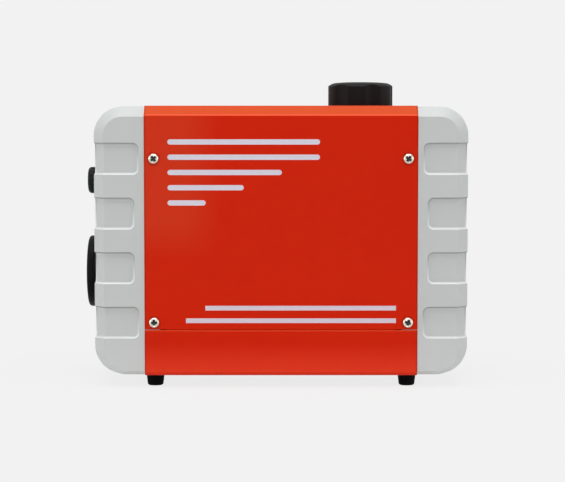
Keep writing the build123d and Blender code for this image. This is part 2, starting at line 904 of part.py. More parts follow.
# Rubber gasket between the core and its bracket
with BuildPart() as base_gasket:
    with BuildSketch(level(bracket_top)):
        with Locations(((gasket_left + gasket_right) / 2, 0)):
            RectangleRounded(gasket_right - gasket_left, pad_width + 2 * gasket_margin, gasket_margin)
        with Locations((exhaust_x, 0)):
            Circle(exhaust_spigot / 2 + pipe_step + pipe_hole_gap / 2, mode=Mode.SUBTRACT)
        with Locations((intake_x, 0)):
            Circle(intake_spigot / 2 + pipe_step + pipe_hole_gap / 2, mode=Mode.SUBTRACT)
        with Locations(*stud_places):
            Circle((stud_diameter + screw_fit) / 2, mode=Mode.SUBTRACT)
    extrude(amount=gasket_thickness)
base_gasket.part.label = "base_gasket"
export_step(base_gasket.part, "parts/base_gasket.step")

# Heat exchanger: a closed finned casting on a bolting pad
with BuildPart() as heat_exchanger:
    end_wall = exchanger_outer - exchanger_bore
    inner_left = exchanger_left + end_wall
    with BuildSketch(axial()):
        with BuildLine():
            Polyline(
                (exchanger_left, 0),
                (exchanger_left, exchanger_outer - exchanger_dome),
                (exchanger_left + exchanger_dome, exchanger_outer),
                (exchanger_right - exchanger_flange_thickness, exchanger_outer),
                (exchanger_right - exchanger_flange_thickness, exchanger_flange),
                (exchanger_right, exchanger_flange),
                (exchanger_right, 0),
                close=True,
            )
        make_face()
    revolve(axis=lengthwise_axis())
    with BuildSketch(across(fin_start)):
        with Locations((0, core_axis)):
            with PolarLocations((exchanger_outer + fin_outer) / 2 - 1, fin_count):
                Rectangle(fin_outer - exchanger_outer + 2, fin_thickness)
    extrude(amount=fin_end - fin_start)
    with BuildSketch(level(pad_face)):
        with Locations(((pad_left + pad_right) / 2, 0)):
            Rectangle(pad_right - pad_left, pad_width)
    extrude(amount=pad_height)
    with BuildSketch(axial()):
        with BuildLine():
            Polyline(
                (exchanger_right + 1, 0),
                (exchanger_right + 1, exchanger_bore),
                (inner_left + exchanger_dome / 2, exchanger_bore),
                (inner_left, exchanger_bore - exchanger_dome / 2),
                (inner_left, 0),
                close=True,
            )
        make_face()
    revolve(axis=lengthwise_axis(), mode=Mode.SUBTRACT)
    with BuildSketch(level(pad_face)):
        with Locations((exhaust_x, 0)):
            Circle(exhaust_spigot / 2 + pipe_step + screw_fit)
    extrude(amount=pipe_seat, mode=Mode.SUBTRACT)
    with BuildSketch(level(pad_face)):
        with Locations((exhaust_x, 0)):
            Circle(exhaust_throat)
    extrude(amount=core_axis - pad_face - exchanger_bore + 4, mode=Mode.SUBTRACT)
    with BuildSketch(level(pad_face)):
        with Locations(*stud_places):
            Circle((stud_diameter + screw_fit) / 2)
    extrude(amount=stud_seat, mode=Mode.SUBTRACT)
    with BuildSketch(across(exchanger_right - exchanger_flange_thickness - 1)):
        with Locations((0, core_axis)):
            with PolarLocations(flange_screw_radius, 4, start_angle=45):
                Circle((screw_shank + screw_fit) / 2)
    extrude(amount=exchanger_flange_thickness + 2, mode=Mode.SUBTRACT)
heat_exchanger.part.label = "heat_exchanger"
export_step(heat_exchanger.part, "parts/heat_exchanger.step")

# Studs and nuts that bolt the core down
with BuildPart() as mounting_studs:
    for x, y in stud_places:
        with BuildSketch(level(pad_face + stud_seat - stud_end_gap)):
            with Locations((x, y)):
                Circle(stud_diameter / 2)
        stud_end = bracket_top - bracket_sheet - stud_nut_height - stud_past_nut
        extrude(amount=stud_end - pad_face - stud_seat + stud_end_gap)
        with BuildSketch(level(bracket_top - bracket_sheet)):
            with Locations((x, y)):
                RegularPolygon(stud_nut_across / 2, 6, major_radius=False)
                Circle((stud_diameter + screw_fit) / 2, mode=Mode.SUBTRACT)
        extrude(amount=-stud_nut_height)
mounting_studs.part.label = "mounting_studs"
export_step(mounting_studs.part, "parts/mounting_studs.step")

# Burner: flange ring with a perforated tube
with BuildPart() as burner_tube:
    tube_left = burner_left - burner_tube_length
    with BuildSketch(across(burner_left)):
        with Locations((0, core_axis)):
            Circle(exchanger_flange)
            Circle(burner_bore, mode=Mode.SUBTRACT)
    extrude(amount=blower_left - burner_left)
    with BuildSketch(across(tube_left)):
        with Locations((0, core_axis)):
            Circle(burner_tube_outer)
            Circle(burner_tube_outer - burner_tube_wall, mode=Mode.SUBTRACT)
    extrude(amount=burner_tube_length)
    for row in range(burner_hole_rows):
        x = burner_left - burner_hole_first - burner_hole_pitch * row
        for spoke in range(burner_holes_around // 2):
            turn = math.radians(180 * (spoke + row % 2 / 2) / (burner_holes_around / 2))
            hole = Plane(
                origin=(body_x + x, body_y, core_axis),
                x_dir=(1, 0, 0),
                z_dir=(0, math.cos(turn), math.sin(turn)),
            )
            with BuildSketch(hole):
                Circle(burner_hole / 2)
            extrude(amount=burner_tube_outer + 1, both=True, mode=Mode.SUBTRACT)
    with BuildSketch(level(core_axis)):
        with Locations((burner_middle, 0)):
            Circle((plug_diameter + screw_fit) / 2)
    extrude(amount=exchanger_flange + 2, mode=Mode.SUBTRACT)
    with BuildSketch(facing(-exchanger_flange - 1)):
        with Locations((burner_middle, burner_line_z)):
            Circle((line_diameter + screw_fit) / 2)
    extrude(amount=-(exchanger_flange + 1 - line_ring_y + burner_line_seat), mode=Mode.SUBTRACT)
    with BuildSketch(facing(-line_ring_y)):
        with Locations((burner_middle, burner_line_z)):
            Circle(nipple_bore)
    extrude(amount=-line_ring_y, mode=Mode.SUBTRACT)
    with BuildSketch(across(burner_left - 1)):
        with Locations((0, core_axis)):
            with PolarLocations(flange_screw_radius, 4, start_angle=45):
                Circle((screw_shank + screw_fit) / 2)
    extrude(amount=blower_left - burner_left + 2, mode=Mode.SUBTRACT)
burner_tube.part.label = "burner_tube"
export_step(burner_tube.part, "parts/burner_tube.step")

with BuildPart() as burner_gasket:
    with BuildSketch(across(exchanger_right)):
        with Locations((0, core_axis)):
            Circle(exchanger_flange)
            Circle(exchanger_bore, mode=Mode.SUBTRACT)
            with PolarLocations(flange_screw_radius, 4, start_angle=45):
                Circle((screw_shank + screw_fit) / 2, mode=Mode.SUBTRACT)
    extrude(amount=burner_gasket_thickness)
burner_gasket.part.label = "burner_gasket"
export_step(burner_gasket.part, "parts/burner_gasket.step")

with BuildPart() as glow_plug:
    with BuildSketch(level(core_axis + exchanger_flange)):
        with Locations((burner_middle, 0)):
            RegularPolygon(plug_hex / 2, 6, major_radius=False)
    extrude(amount=plug_hex_height)
    with BuildSketch(level(core_axis + exchanger_flange)):
        with Locations((burner_middle, 0)):
            Circle(plug_diameter / 2)
    extrude(amount=-plug_length)
glow_plug.part.label = "glow_plug"
export_step(glow_plug.part, "parts/glow_plug.step")

# Blower housing with the combustion chamber's fan space and the motor's bore
with BuildPart() as blower_housing:
    with BuildSketch(axial()):
        with BuildLine():
            Polyline(
                (blower_left, chamber_radius),
                (blower_left, exchanger_flange),
                (blower_left + blower_flange, exchanger_flange),
                (blower_left + blower_flange, blower_outer),
                (blower_right, blower_outer),
                (blower_right, motor_radius + fit_gap),
                (motor_seat, motor_radius + fit_gap),
                (motor_seat, partition_bore),
                (blower_left + chamber_length, partition_bore),
                (blower_left + chamber_length, chamber_radius),
                close=True,
            )
        make_face()
    revolve(axis=lengthwise_axis())
    with BuildSketch(level(intake_boss_bottom)):
        with Locations((intake_x, 0)):
            Circle(intake_spigot / 2 + pipe_step + intake_boss_wall)
    extrude(amount=core_axis - motor_radius - intake_boss_bottom)
    with BuildSketch(level(core_axis - exchanger_flange - 2 * fit_gap)):
        with Locations((blower_left - body_depth / 2, 0)):
            Rectangle(body_depth, body_depth)
    extrude(amount=exchanger_flange, mode=Mode.SUBTRACT)
    with BuildSketch(level(core_axis + motor_radius)):
        with Locations(*board_posts):
            Circle(post_diameter / 2)
    extrude(amount=board_base - core_axis - motor_radius)
    with BuildSketch(level(intake_boss_bottom)):
        with Locations((intake_x, 0)):
            Circle(intake_spigot / 2 + pipe_step + screw_fit)
    extrude(amount=intake_seat, mode=Mode.SUBTRACT)
    with BuildSketch(level(intake_boss_bottom)):
        with Locations((intake_x, 0)):
            Circle(chamber_length / 2 - 1)
    extrude(amount=core_axis - motor_radius - intake_boss_bottom, mode=Mode.SUBTRACT)
    with BuildSketch(axial()):
        with Locations(((motor_seat + blower_right + 1) / 2, (motor_radius + fit_gap) / 2)):
            Rectangle(blower_right + 1 - motor_seat, motor_radius + fit_gap)
        with Locations((blower_left + (chamber_length - 1) / 2, chamber_radius / 2)):
            Rectangle(chamber_length + 1, chamber_radius)
    revolve(axis=lengthwise_axis(), mode=Mode.SUBTRACT)
    with BuildSketch(across(blower_left - 1)):
        with Locations((0, core_axis)):
            with PolarLocations(flange_screw_radius, 4, start_angle=45):
                Circle((screw_shank + screw_fit) / 2)
    extrude(amount=blower_flange + 2, mode=Mode.SUBTRACT)
blower_housing.part.label = "blower_housing"
export_step(blower_housing.part, "parts/blower_housing.step")

# Motor: can, magnets and bearings stay still, the shaft carries armature and both fans
with BuildPart() as motor_can:
    with BuildSketch(axial()):
        with BuildLine():
            Polyline(
                (motor_left, bearing_outer / 2 + shaft_gap),
                (motor_left, motor_radius),
                (motor_right, motor_radius),
                (motor_right, bearing_outer / 2 + shaft_gap),
                (motor_right - bearing_width - motor_wall, bearing_outer / 2 + shaft_gap),
                (motor_right - bearing_width - motor_wall, motor_radius - motor_wall),
                (motor_left + bearing_width + motor_wall, motor_radius - motor_wall),
                (motor_left + bearing_width + motor_wall, bearing_outer / 2 + shaft_gap),
                close=True,
            )
        make_face()
    revolve(axis=lengthwise_axis())
motor_can.part.label = "motor_can"
export_step(motor_can.part, "parts/motor_can.step")

with BuildPart() as shaft_bearings:
    for x in (motor_left, motor_right - bearing_width):
        add(ring(across(x), 0, core_axis, bearing_outer / 2, shaft_diameter / 2 + shaft_gap, bearing_width))
shaft_bearings.part.label = "shaft_bearings"
export_step(shaft_bearings.part, "parts/shaft_bearings.step")

with BuildPart() as motor_magnets:
    with BuildSketch(across(motor_left + bearing_width + motor_wall + magnet_end_gap)):
        with Locations((0, core_axis)):
            Circle(motor_radius - motor_wall - screw_fit)
            Circle(motor_radius - motor_wall - magnet_thickness, mode=Mode.SUBTRACT)
            Rectangle(2 * motor_radius, magnet_gap, mode=Mode.SUBTRACT)
    extrude(amount=motor_length - 2 * (bearing_width + motor_wall + magnet_end_gap))
motor_magnets.part.label = "motor_magnets"
export_step(motor_magnets.part, "parts/motor_magnets.step")

with BuildPart() as motor_shaft:
    with BuildSketch(across(shaft_left)):
        with Locations((0, core_axis)):
            Circle(shaft_diameter / 2)
    extrude(amount=shaft_right - shaft_left)
motor_shaft.part.label = "motor_shaft"
export_step(motor_shaft.part, "parts/motor_shaft.step")

with BuildPart() as motor_armature:
    with BuildSketch(across(motor_left + bearing_width + motor_wall + armature_end_gap)):
        with Locations((0, core_axis)):
            Circle(armature_radius)
            with PolarLocations(armature_radius - armature_slot_reach, armature_slots):
                Rectangle(armature_slot_long, armature_slot_wide, mode=Mode.SUBTRACT)
            Circle(shaft_diameter / 2 + press_fit, mode=Mode.SUBTRACT)
    extrude(amount=motor_length - 2 * (bearing_width + motor_wall + armature_end_gap))
motor_armature.part.label = "motor_armature"
export_step(motor_armature.part, "parts/motor_armature.step")

with BuildPart() as combustion_impeller:
    with BuildSketch(across(impeller_left)):
        with Locations((0, core_axis)):
            Circle(impeller_radius)
    extrude(amount=impeller_plate)
    with BuildSketch(across(impeller_left)):
        with Locations((0, core_axis)):
            Circle(impeller_hub)
    extrude(amount=impeller_plate + impeller_height)
    with BuildSketch(across(impeller_left)):
        with Locations((0, core_axis)):
            with PolarLocations((impeller_radius + impeller_hub) / 2, impeller_blades):
                Rectangle(impeller_radius - impeller_hub - 1, impeller_blade, rotation=impeller_sweep)
    extrude(amount=impeller_plate + impeller_height)
    with BuildSketch(across(impeller_left - 1)):
        with Locations((0, core_axis)):
            Circle(shaft_diameter / 2 + press_fit)
    extrude(amount=impeller_plate + impeller_height + 2, mode=Mode.SUBTRACT)
combustion_impeller.part.label = "combustion_impeller"
export_step(combustion_impeller.part, "parts/combustion_impeller.step")


def fan_blade(turn):
    """One twisted blade of the hot-air fan, turned about the shaft."""
    up = Vector(0, -math.sin(turn), math.cos(turn))
    along = Vector(1, 0, 0)
    with BuildPart() as blade:
        for radius, pitch, chord, thick in fan_sections:
            tilt = math.radians(pitch)
            chord_way = along * math.cos(tilt) + up.cross(along) * math.sin(tilt)
            centre = Vector(body_x + fan_left + fan_width / 2, body_y, core_axis) + up * radius
            with BuildSketch(Plane(origin=centre, x_dir=chord_way, z_dir=up)):
                Rectangle(chord, thick)
        loft()
    return blade.part


with BuildPart() as hot_air_fan:
    with BuildSketch(across(fan_left)):
        with Locations((0, core_axis)):
            Circle(fan_hub)
    extrude(amount=fan_width)
    fillet(hot_air_fan.edges().filter_by(GeomType.CIRCLE).sort_by(Axis.X)[-1], fan_round)
    with BuildSketch(across(fan_left)):
        with Locations((0, core_axis)):
            Circle(fan_hub - fan_hub_wall)
            Circle(shaft_diameter / 2 + fan_boss_wall, mode=Mode.SUBTRACT)
    extrude(amount=fan_width - fan_round, mode=Mode.SUBTRACT)
    with BuildSketch(across(fan_left - 1)):
        with Locations((0, core_axis)):
            Circle(shaft_diameter / 2 + press_fit)
    extrude(amount=fan_width + 2, mode=Mode.SUBTRACT)
    for k in range(fan_blades):
        add(fan_blade(2 * math.pi * k / fan_blades))
hot_air_fan.part.label = "hot_air_fan"
export_step(hot_air_fan.part, "parts/hot_air_fan.step")

# Core case in two halves with bolting flanges
with BuildPart() as core_case_lower:
    extrude(core_section(core_left, 0), amount=core_right - core_left)
    extrude(core_section(core_left - 1, core_wall), amount=core_right - core_left + 2, mode=Mode.SUBTRACT)
    with BuildSketch(level(core_axis)):
        Rectangle(body_length, body_depth)
    extrude(amount=body_height, mode=Mode.SUBTRACT)
    with BuildSketch(level(core_axis - flange_height)):
        with Locations(*[((core_left + core_right) / 2, side * (core_width + flange_width - 1) / 2)
                         for side in (-1, 1)]):
            Rectangle(core_right - core_left - 2 * flange_inset, flange_width + 1)
    extrude(amount=flange_height)
    with BuildSketch(level(core_bottom - 1)):
        with Locations(((pad_left + pad_right) / 2, 0)):
            Rectangle(pad_right - pad_left + 2 * fit_gap, pad_width + 2 * fit_gap)
        with Locations((intake_x, 0)):
            Circle(intake_spigot / 2 + pipe_step + pipe_hole_gap)
    extrude(amount=2 * core_wall + 2, mode=Mode.SUBTRACT)
    with BuildSketch(facing(-core_width / 2 - 1)):
        with Locations((burner_middle, burner_line_z)):
            Circle(line_hole / 2)
    extrude(amount=-core_wall - 2, mode=Mode.SUBTRACT)
    with BuildSketch(level(core_axis)):
        with Locations(*case_screw_places):
            Circle((case_screw + screw_fit) / 2)
    extrude(amount=-flange_height - 1, mode=Mode.SUBTRACT)
core_case_lower.part.label = "core_case_lower"
export_step(core_case_lower.part, "parts/core_case_lower.step")

with BuildPart() as core_case_upper:
    extrude(core_section(core_left, 0), amount=core_right - core_left)
    extrude(core_section(core_left - 1, core_wall), amount=core_right - core_left + 2, mode=Mode.SUBTRACT)
    with BuildSketch(level(core_axis)):
        Rectangle(body_length, body_depth)
    extrude(amount=-body_height, mode=Mode.SUBTRACT)
    with BuildSketch(level(core_axis)):
        with Locations(*[((core_left + core_right) / 2, side * (core_width + flange_width - 1) / 2)
                         for side in (-1, 1)]):
            Rectangle(core_right - core_left - 2 * flange_inset, flange_width + 1)
    extrude(amount=flange_height)
    with BuildSketch(level(core_axis - 1)):
        with Locations(*case_screw_places):
            Circle((case_screw + screw_fit) / 2)
    extrude(amount=flange_height + 2, mode=Mode.SUBTRACT)
    with BuildSketch(facing(core_width / 2 + 1)):
        with Locations((power_lead_x, lead_level), (panel_lead_x, lead_level)):
            Circle(lead_hole / 2)
    extrude(amount=core_width / 4, mode=Mode.SUBTRACT)
core_case_upper.part.label = "core_case_upper"
export_step(core_case_upper.part, "parts/core_case_upper.step")

# Screws of the core: four through blower, burner and exchanger, and eight along the case's flanges
with BuildPart() as core_screws:
    for k in range(4):
        turn = math.radians(45 + 90 * k)
        y = flange_screw_radius * math.cos(turn)
        z = core_axis + flange_screw_radius * math.sin(turn)
        grip = blower_left + blower_flange - exchanger_right + exchanger_flange_thickness
        seat = across(blower_left + blower_flange)
        add(screw(seat, y, z, flange_screw_head, screw_head_height, screw_shank, grip, cross=False))
    for x, y in case_screw_places:
        add(screw(level(core_axis + flange_height), x, y, case_screw_head, case_screw_head_height, case_screw,
                  2 * flange_height, cross=False))
core_screws.part.label = "core_screws"
export_step(core_screws.part, "parts/core_screws.step")

# Outlet hood: from the case's section down to the round spigot
with BuildPart() as core_outlet_hood:
    hood_left = core_left - hood_length
    skirt_inset = core_wall + fit_gap
    walls = ((0.0, 0.0, Mode.ADD), (skirt_inset + skirt_wall, spigot_wall, Mode.SUBTRACT))
    for wide_inset, small_inset, mode in walls:
        with BuildSketch(across(core_left)):
            with Locations((0, core_axis)):
                RectangleRounded(
                    core_width - 2 * wide_inset, core_height - 2 * wide_inset, core_corner - wide_inset
                )
        with BuildSketch(across(hood_left)):
            with Locations((0, core_axis)):
                small = 2 * (spigot_radius - small_inset)
                RectangleRounded(small, small, small / 2 - 0.2)
        loft(ruled=True, mode=mode)
    with BuildSketch(across(hood_left - spigot_length)):
        with Locations((0, core_axis)):
            Circle(spigot_radius)
            Circle(spigot_radius - spigot_wall, mode=Mode.SUBTRACT)
    extrude(amount=spigot_length)
    extrude(core_ring(core_left, skirt_inset, skirt_inset + skirt_wall), amount=skirt_length)
core_outlet_hood.part.label = "core_outlet_hood"
export_step(core_outlet_hood.part, "parts/core_outlet_hood.step")

# Inlet grille of the core
with BuildPart() as core_inlet_grille:
    extrude(core_section(core_right, 0), amount=grille_plate)
    extrude(core_ring(core_right - skirt_length, skirt_inset, skirt_inset + skirt_wall), amount=skirt_length)
    with BuildSketch(across(core_right - 1)):
        with Locations((0, core_axis)):
            Circle(grille_radius)
            for k in range(grille_rings, 0, -1):
                radius = grille_radius * k / (grille_rings + 1)
                Circle(radius + grille_bar / 2, mode=Mode.SUBTRACT)
                Circle(radius - grille_bar / 2)
            with PolarLocations(grille_radius / 2, 4, start_angle=45):
                Rectangle(grille_radius, 1.5 * grille_bar, mode=Mode.SUBTRACT)
            Circle(grille_radius / (grille_rings + 1), mode=Mode.SUBTRACT)
    extrude(amount=grille_plate + 2, mode=Mode.SUBTRACT)
core_inlet_grille.part.label = "core_inlet_grille"
export_step(core_inlet_grille.part, "parts/core_inlet_grille.step")

# Control board on the blower's posts, and the overheat sensor
with BuildPart() as control_board:
    with BuildSketch(level(board_base)):
        with Locations(((board_left + board_right) / 2, 0)):
            Rectangle(board_right - board_left, board_width)
    extrude(amount=board_thickness)
    with BuildSketch(level(board_base + board_thickness)):
        for x, y, wide, tall in board_blocks:
            with Locations((board_left + x, y)):
                Rectangle(wide, tall)
        with Locations(*[(board_left + x, y) for x, y in board_cans]):
            Circle(board_can_radius)
    extrude(amount=board_block_height)
control_board.part.label = "control_board"
export_step(control_board.part, "parts/control_board.step")

with BuildPart() as overheat_sensor:
    with BuildSketch(level(core_axis + exchanger_outer - sensor_sink)):
        with Locations((sensor_x, 0)):
            Rectangle(sensor_length, sensor_width)
    extrude(amount=sensor_height + sensor_sink)
    with BuildSketch(across(sensor_x - sensor_length)):
        with Locations((0, core_axis)):
            Circle(exchanger_outer)
    extrude(amount=2 * sensor_length, mode=Mode.SUBTRACT)
overheat_sensor.part.label = "overheat_sensor"
export_step(overheat_sensor.part, "parts/overheat_sensor.step")


def bent_pipe(x, spigot, seat_top):
    """Pipe from a seat in the core, down and out through the tray's back, ending in a plain spigot."""
    radius = spigot / 2 + pipe_step
    bore = spigot / 2 - pipe_wall
    with BuildPart() as pipe:
        with BuildLine():
            FilletPolyline(
                (body_x + x, body_y, seat_top),
                (body_x + x, body_y, pipe_axis),
                (body_x + x, body_y + half_depth + pipe_step, pipe_axis),
                radius=pipe_bend,
            )
        with BuildSketch(Plane(origin=(body_x + x, body_y, seat_top), x_dir=(1, 0, 0), z_dir=(0, 0, -1))):
            Circle(radius)
        sweep()
        with BuildSketch(wall_plane(x, half_depth + pipe_step, (0, 1))):
            with Locations((0, pipe_axis)):
                Circle(spigot / 2)
        extrude(amount=pipe_spigot_length - pipe_step)
    with BuildPart() as core:
        with BuildLine():
            FilletPolyline(
                (body_x + x, body_y, seat_top),
                (body_x + x, body_y, pipe_axis),
                (body_x + x, body_y + half_depth + pipe_spigot_length, pipe_axis),
                radius=pipe_bend,
            )
        with BuildSketch(Plane(origin=(body_x + x, body_y, seat_top), x_dir=(1, 0, 0), z_dir=(0, 0, -1))):
            Circle(bore)
        sweep()
    with BuildPart() as whole:
        add(pipe.part)
        add(core.part, mode=Mode.SUBTRACT)
    return whole.part


with BuildPart() as exhaust_pipe:
    add(bent_pipe(exhaust_x, exhaust_spigot, pad_face + pipe_seat - screw_fit))
exhaust_pipe.part.label = "exhaust_pipe"
export_step(exhaust_pipe.part, "parts/exhaust_pipe.step")

with BuildPart() as intake_pipe:
    add(bent_pipe(intake_x, intake_spigot, intake_boss_bottom + intake_seat - screw_fit))
intake_pipe.part.label = "intake_pipe"
export_step(intake_pipe.part, "parts/intake_pipe.step")

# Shelf across the body that carries the tank
with BuildPart() as tank_shelf:
    shelf_right = half_length - cap_wall
    with BuildSketch(level(shelf)) as plate:
        with Locations(((shelf_right - shelf_end) / 2, 0)):
            Rectangle(shelf_right + shelf_end, shelf_depth)
        chamfer(plate.vertices().group_by(Axis.X)[-1], shelf_nick)
    extrude(amount=sheet)
    with BuildSketch(level(shelf)):
        with Locations((shelf_right - sheet / 2, 0)):
            Rectangle(sheet, shelf_depth - 2 * shelf_corner)
    extrude(amount=shelf_flange)
    with BuildSketch(level(shelf + sheet)):
        with Locations(*[(0, side * (shelf_depth - sheet) / 2) for side in (-1, 1)]):
            Rectangle(lap_length - shelf_lip_gap, sheet)
    extrude(amount=-shelf_flange)
    with BuildSketch(level(shelf - 1)):
        with Locations((train_x, train_y)):
            Circle(fitting_flange + 1)
        strap_y = (tank_width + strap_thickness) / 2
        with Locations(*[(x, side * strap_y) for x in strap_positions for side in (-1, 1)]):
            Rectangle(strap_width + 2 * fit_gap, strap_thickness + 4 * fit_gap)
        with Locations((power_drop_x, 0)):
            Circle(lead_hole / 2)
    extrude(amount=sheet + 2, mode=Mode.SUBTRACT)
    with BuildSketch(across(half_length)):
        with Locations(*[(y, base + end_screw_height) for y in (-end_screw_y, end_screw_y)]):
            Circle((screw_shank + screw_fit) / 2)
    extrude(amount=-cap_wall - sheet - 1, mode=Mode.SUBTRACT)
tank_shelf.part.label = "tank_shelf"
export_step(tank_shelf.part, "parts/tank_shelf.step")

with BuildPart() as end_cap_screws:
    for y in (-end_screw_y, end_screw_y):
        add(screw(across(half_length), y, base + end_screw_height, end_screw_head, socket_screw_head,
                  screw_shank, cap_wall + sheet))
end_cap_screws.part.label = "end_cap_screws"
export_step(end_cap_screws.part, "parts/end_cap_screws.step")


def tank_solid(inset):
    """The tank's rounded body, inset from its outside."""
    with BuildPart() as body:
        with BuildSketch(across(tank_left + inset)) as section:
            with Locations((0, tank_bottom + tank_height / 2)):
                Rectangle(tank_width - 2 * inset, tank_height - 2 * inset)
            fillet(section.vertices().group_by(Axis.Y)[-1], tank_corner - inset)
            fillet(section.vertices().group_by(Axis.Y)[0], tank_foot_corner - inset)
        extrude(amount=tank_right - tank_left - 2 * inset)
    return body.part


# Fuel tank with its filler neck
with BuildPart() as fuel_tank:
    add(tank_solid(0))
    fillet(fuel_tank.edges().group_by(Axis.X)[0] + fuel_tank.edges().group_by(Axis.X)[-1], tank_end_round)
    with BuildSketch(level(tank_top - tank_wall)):
        with Locations((neck_x, 0)):
            Circle(neck_outer / 2)
    extrude(amount=neck_top - tank_top + tank_wall)
    add(tank_solid(tank_wall), mode=Mode.SUBTRACT)
    with BuildSketch(level(neck_top)):
        with Locations((neck_x, 0)):
            Circle(neck_outer / 2 - neck_wall)
    extrude(amount=tank_top - tank_height / 2 - neck_top, mode=Mode.SUBTRACT)
    with BuildSketch(level(tank_bottom - 1)):
        with Locations((train_x, train_y)):
            Circle(fitting_thread + screw_fit / 2)
    extrude(amount=tank_wall + 2, mode=Mode.SUBTRACT)
fuel_tank.part.label = "fuel_tank"
export_step(fuel_tank.part, "parts/fuel_tank.step")

with BuildPart() as tank_straps:
    for x in strap_positions:
        for grow, mode in ((strap_thickness, Mode.ADD), (0.0, Mode.SUBTRACT)):
            with BuildSketch(across(x - strap_width / 2 - (0 if grow else 1))) as band:
                with Locations((0, (tank_top + shelf) / 2)):
                    Rectangle(tank_width + 2 * (grow + screw_fit), tank_top - shelf + 2 * (grow + screw_fit))
                fillet(band.vertices().group_by(Axis.Y)[-1], tank_corner + grow + screw_fit)
            extrude(amount=strap_width + (0 if grow else 2), mode=mode)
tank_straps.part.label = "tank_straps"
export_step(tank_straps.part, "parts/tank_straps.step")

# Rubber collar that seals the cover's hole round the neck
with BuildPart() as neck_collar:
    with BuildSketch(upright(neck_x, 0)):
        with BuildLine():
            inner = neck_outer / 2 + fit_gap
            body = neck_collar_outer
            lip = body + collar_lip
            Polyline(
                (inner, top - sheet - collar_thickness),
                (lip, top - sheet - collar_thickness),
                (lip, top - sheet),
                (body, top - sheet),
                (body, top),
                (lip, top),
                (lip, top + collar_thickness),
                (inner, top + collar_thickness),
                close=True,
            )
        make_face()
    revolve(axis=upright_axis(neck_x, 0))
neck_collar.part.label = "neck_collar"
export_step(neck_collar.part, "parts/neck_collar.step")

# Fuel cap with soft lobes, and its seal
with BuildPart() as fuel_cap:
    with BuildSketch(level(skirt_bottom)) as plan:
        with Locations((neck_x, 0)):
            Circle(fuel_cap_diameter / 2)
            with PolarLocations(fuel_cap_diameter / 2 - fuel_cap_valley + fuel_cap_scallop, fuel_cap_lobes,
                                start_angle=fuel_cap_start):
                Circle(fuel_cap_scallop, mode=Mode.SUBTRACT)
        fillet(plan.vertices(), fuel_cap_lobe_round)
    extrude(amount=cap_top - skirt_bottom)
    with BuildSketch(upright(neck_x, 0)):
        with BuildLine():
            rim = fuel_cap_diameter / 2
            shoulder = (rim - fuel_cap_shoulder, cap_top - fuel_cap_crown)
            outside = rim + fuel_cap_over
            edge = (outside, cap_top - fuel_cap_edge - fuel_cap_over)
            bulge = (rim - fuel_cap_shoulder / 3, cap_top - (fuel_cap_crown + fuel_cap_edge) / 2)
            below = skirt_bottom - fuel_cap_over
            rise = ((fuel_cap_flat + shoulder[0]) / 2, cap_top - fuel_cap_crown / 4)
            Polyline((fuel_cap_flat, cap_top), (0, cap_top), (0, below), (outside, below), edge)
            ThreePointArc(edge, bulge, shoulder)
            ThreePointArc(shoulder, rise, (fuel_cap_flat, cap_top))
        make_face()
    revolve(axis=upright_axis(neck_x, 0), mode=Mode.INTERSECT)
    with BuildSketch(level(cap_bottom)):
        with Locations((neck_x, 0)):
            Circle(neck_outer / 2 + fit_gap)
    extrude(amount=fuel_cap_height - fuel_cap_wall, mode=Mode.SUBTRACT)
    with BuildSketch(level(skirt_bottom)):
        with Locations((neck_x, 0)):
            Circle(neck_collar_outer + collar_lip + fit_gap)
    extrude(amount=cap_bottom - skirt_bottom, mode=Mode.SUBTRACT)
fuel_cap.part.label = "fuel_cap"
export_step(fuel_cap.part, "parts/fuel_cap.step")

with BuildPart() as cap_seal:
    add(ring(level(neck_top), neck_x, 0, neck_outer / 2, neck_outer / 2 - seal_width, seal_thickness))
cap_seal.part.label = "cap_seal"
export_step(cap_seal.part, "parts/cap_seal.step")

# Fuel train below the tank: fitting, hoses, filter and dosing pump
with BuildPart() as tank_outlet_fitting:
    with BuildSketch(upright(train_x, train_y)):
        with BuildLine():
            Polyline(
                (nipple_bore, fitting_end),
                (nipple / 2, fitting_end),
                (nipple / 2, tank_bottom - fitting_height),
                (fitting_flange, tank_bottom - fitting_height),
                (fitting_flange, tank_bottom),
                (fitting_thread, tank_bottom),
                (fitting_thread, tank_bottom + tank_wall + fitting_past_wall),
                (nipple_bore, tank_bottom + tank_wall + fitting_past_wall),
                close=True,
            )
        make_face()
    revolve(axis=upright_axis(train_x, train_y))
tank_outlet_fitting.part.label = "tank_outlet_fitting"
export_step(tank_outlet_fitting.part, "parts/tank_outlet_fitting.step")

with BuildPart() as fuel_filter:
    with BuildSketch(upright(train_x, train_y)):
        with BuildLine():
            Polyline(
                (nipple_bore, filter_bottom - nipple_length),
                (nipple / 2, filter_bottom - nipple_length),
                (nipple / 2, filter_bottom),
                (filter_diameter / 2 - filter_edge, filter_bottom),
                (filter_diameter / 2, filter_bottom + filter_edge),
                (filter_diameter / 2, filter_top - filter_edge),
                (filter_diameter / 2 - filter_edge, filter_top),
                (nipple / 2, filter_top),
                (nipple / 2, filter_top + nipple_length),
                (nipple_bore, filter_top + nipple_length),
                close=True,
            )
        make_face()
    revolve(axis=upright_axis(train_x, train_y))
fuel_filter.part.label = "fuel_filter"
export_step(fuel_filter.part, "parts/fuel_filter.step")

with BuildPart() as fuel_hoses:
    for low, high in (
        (filter_top + fit_gap, tank_bottom - fitting_height - fit_gap),
        (pump_top + pump_neck + fit_gap, filter_bottom - fit_gap),
        (pump_bottom - pump_nipple - hose_overlap, pump_bottom - pump_base - fit_gap),
    ):
        add(ring(level(low), train_x, train_y, hose_outer / 2, (nipple + screw_fit) / 2, high - low))
fuel_hoses.part.label = "fuel_hoses"
export_step(fuel_hoses.part, "parts/fuel_hoses.step")

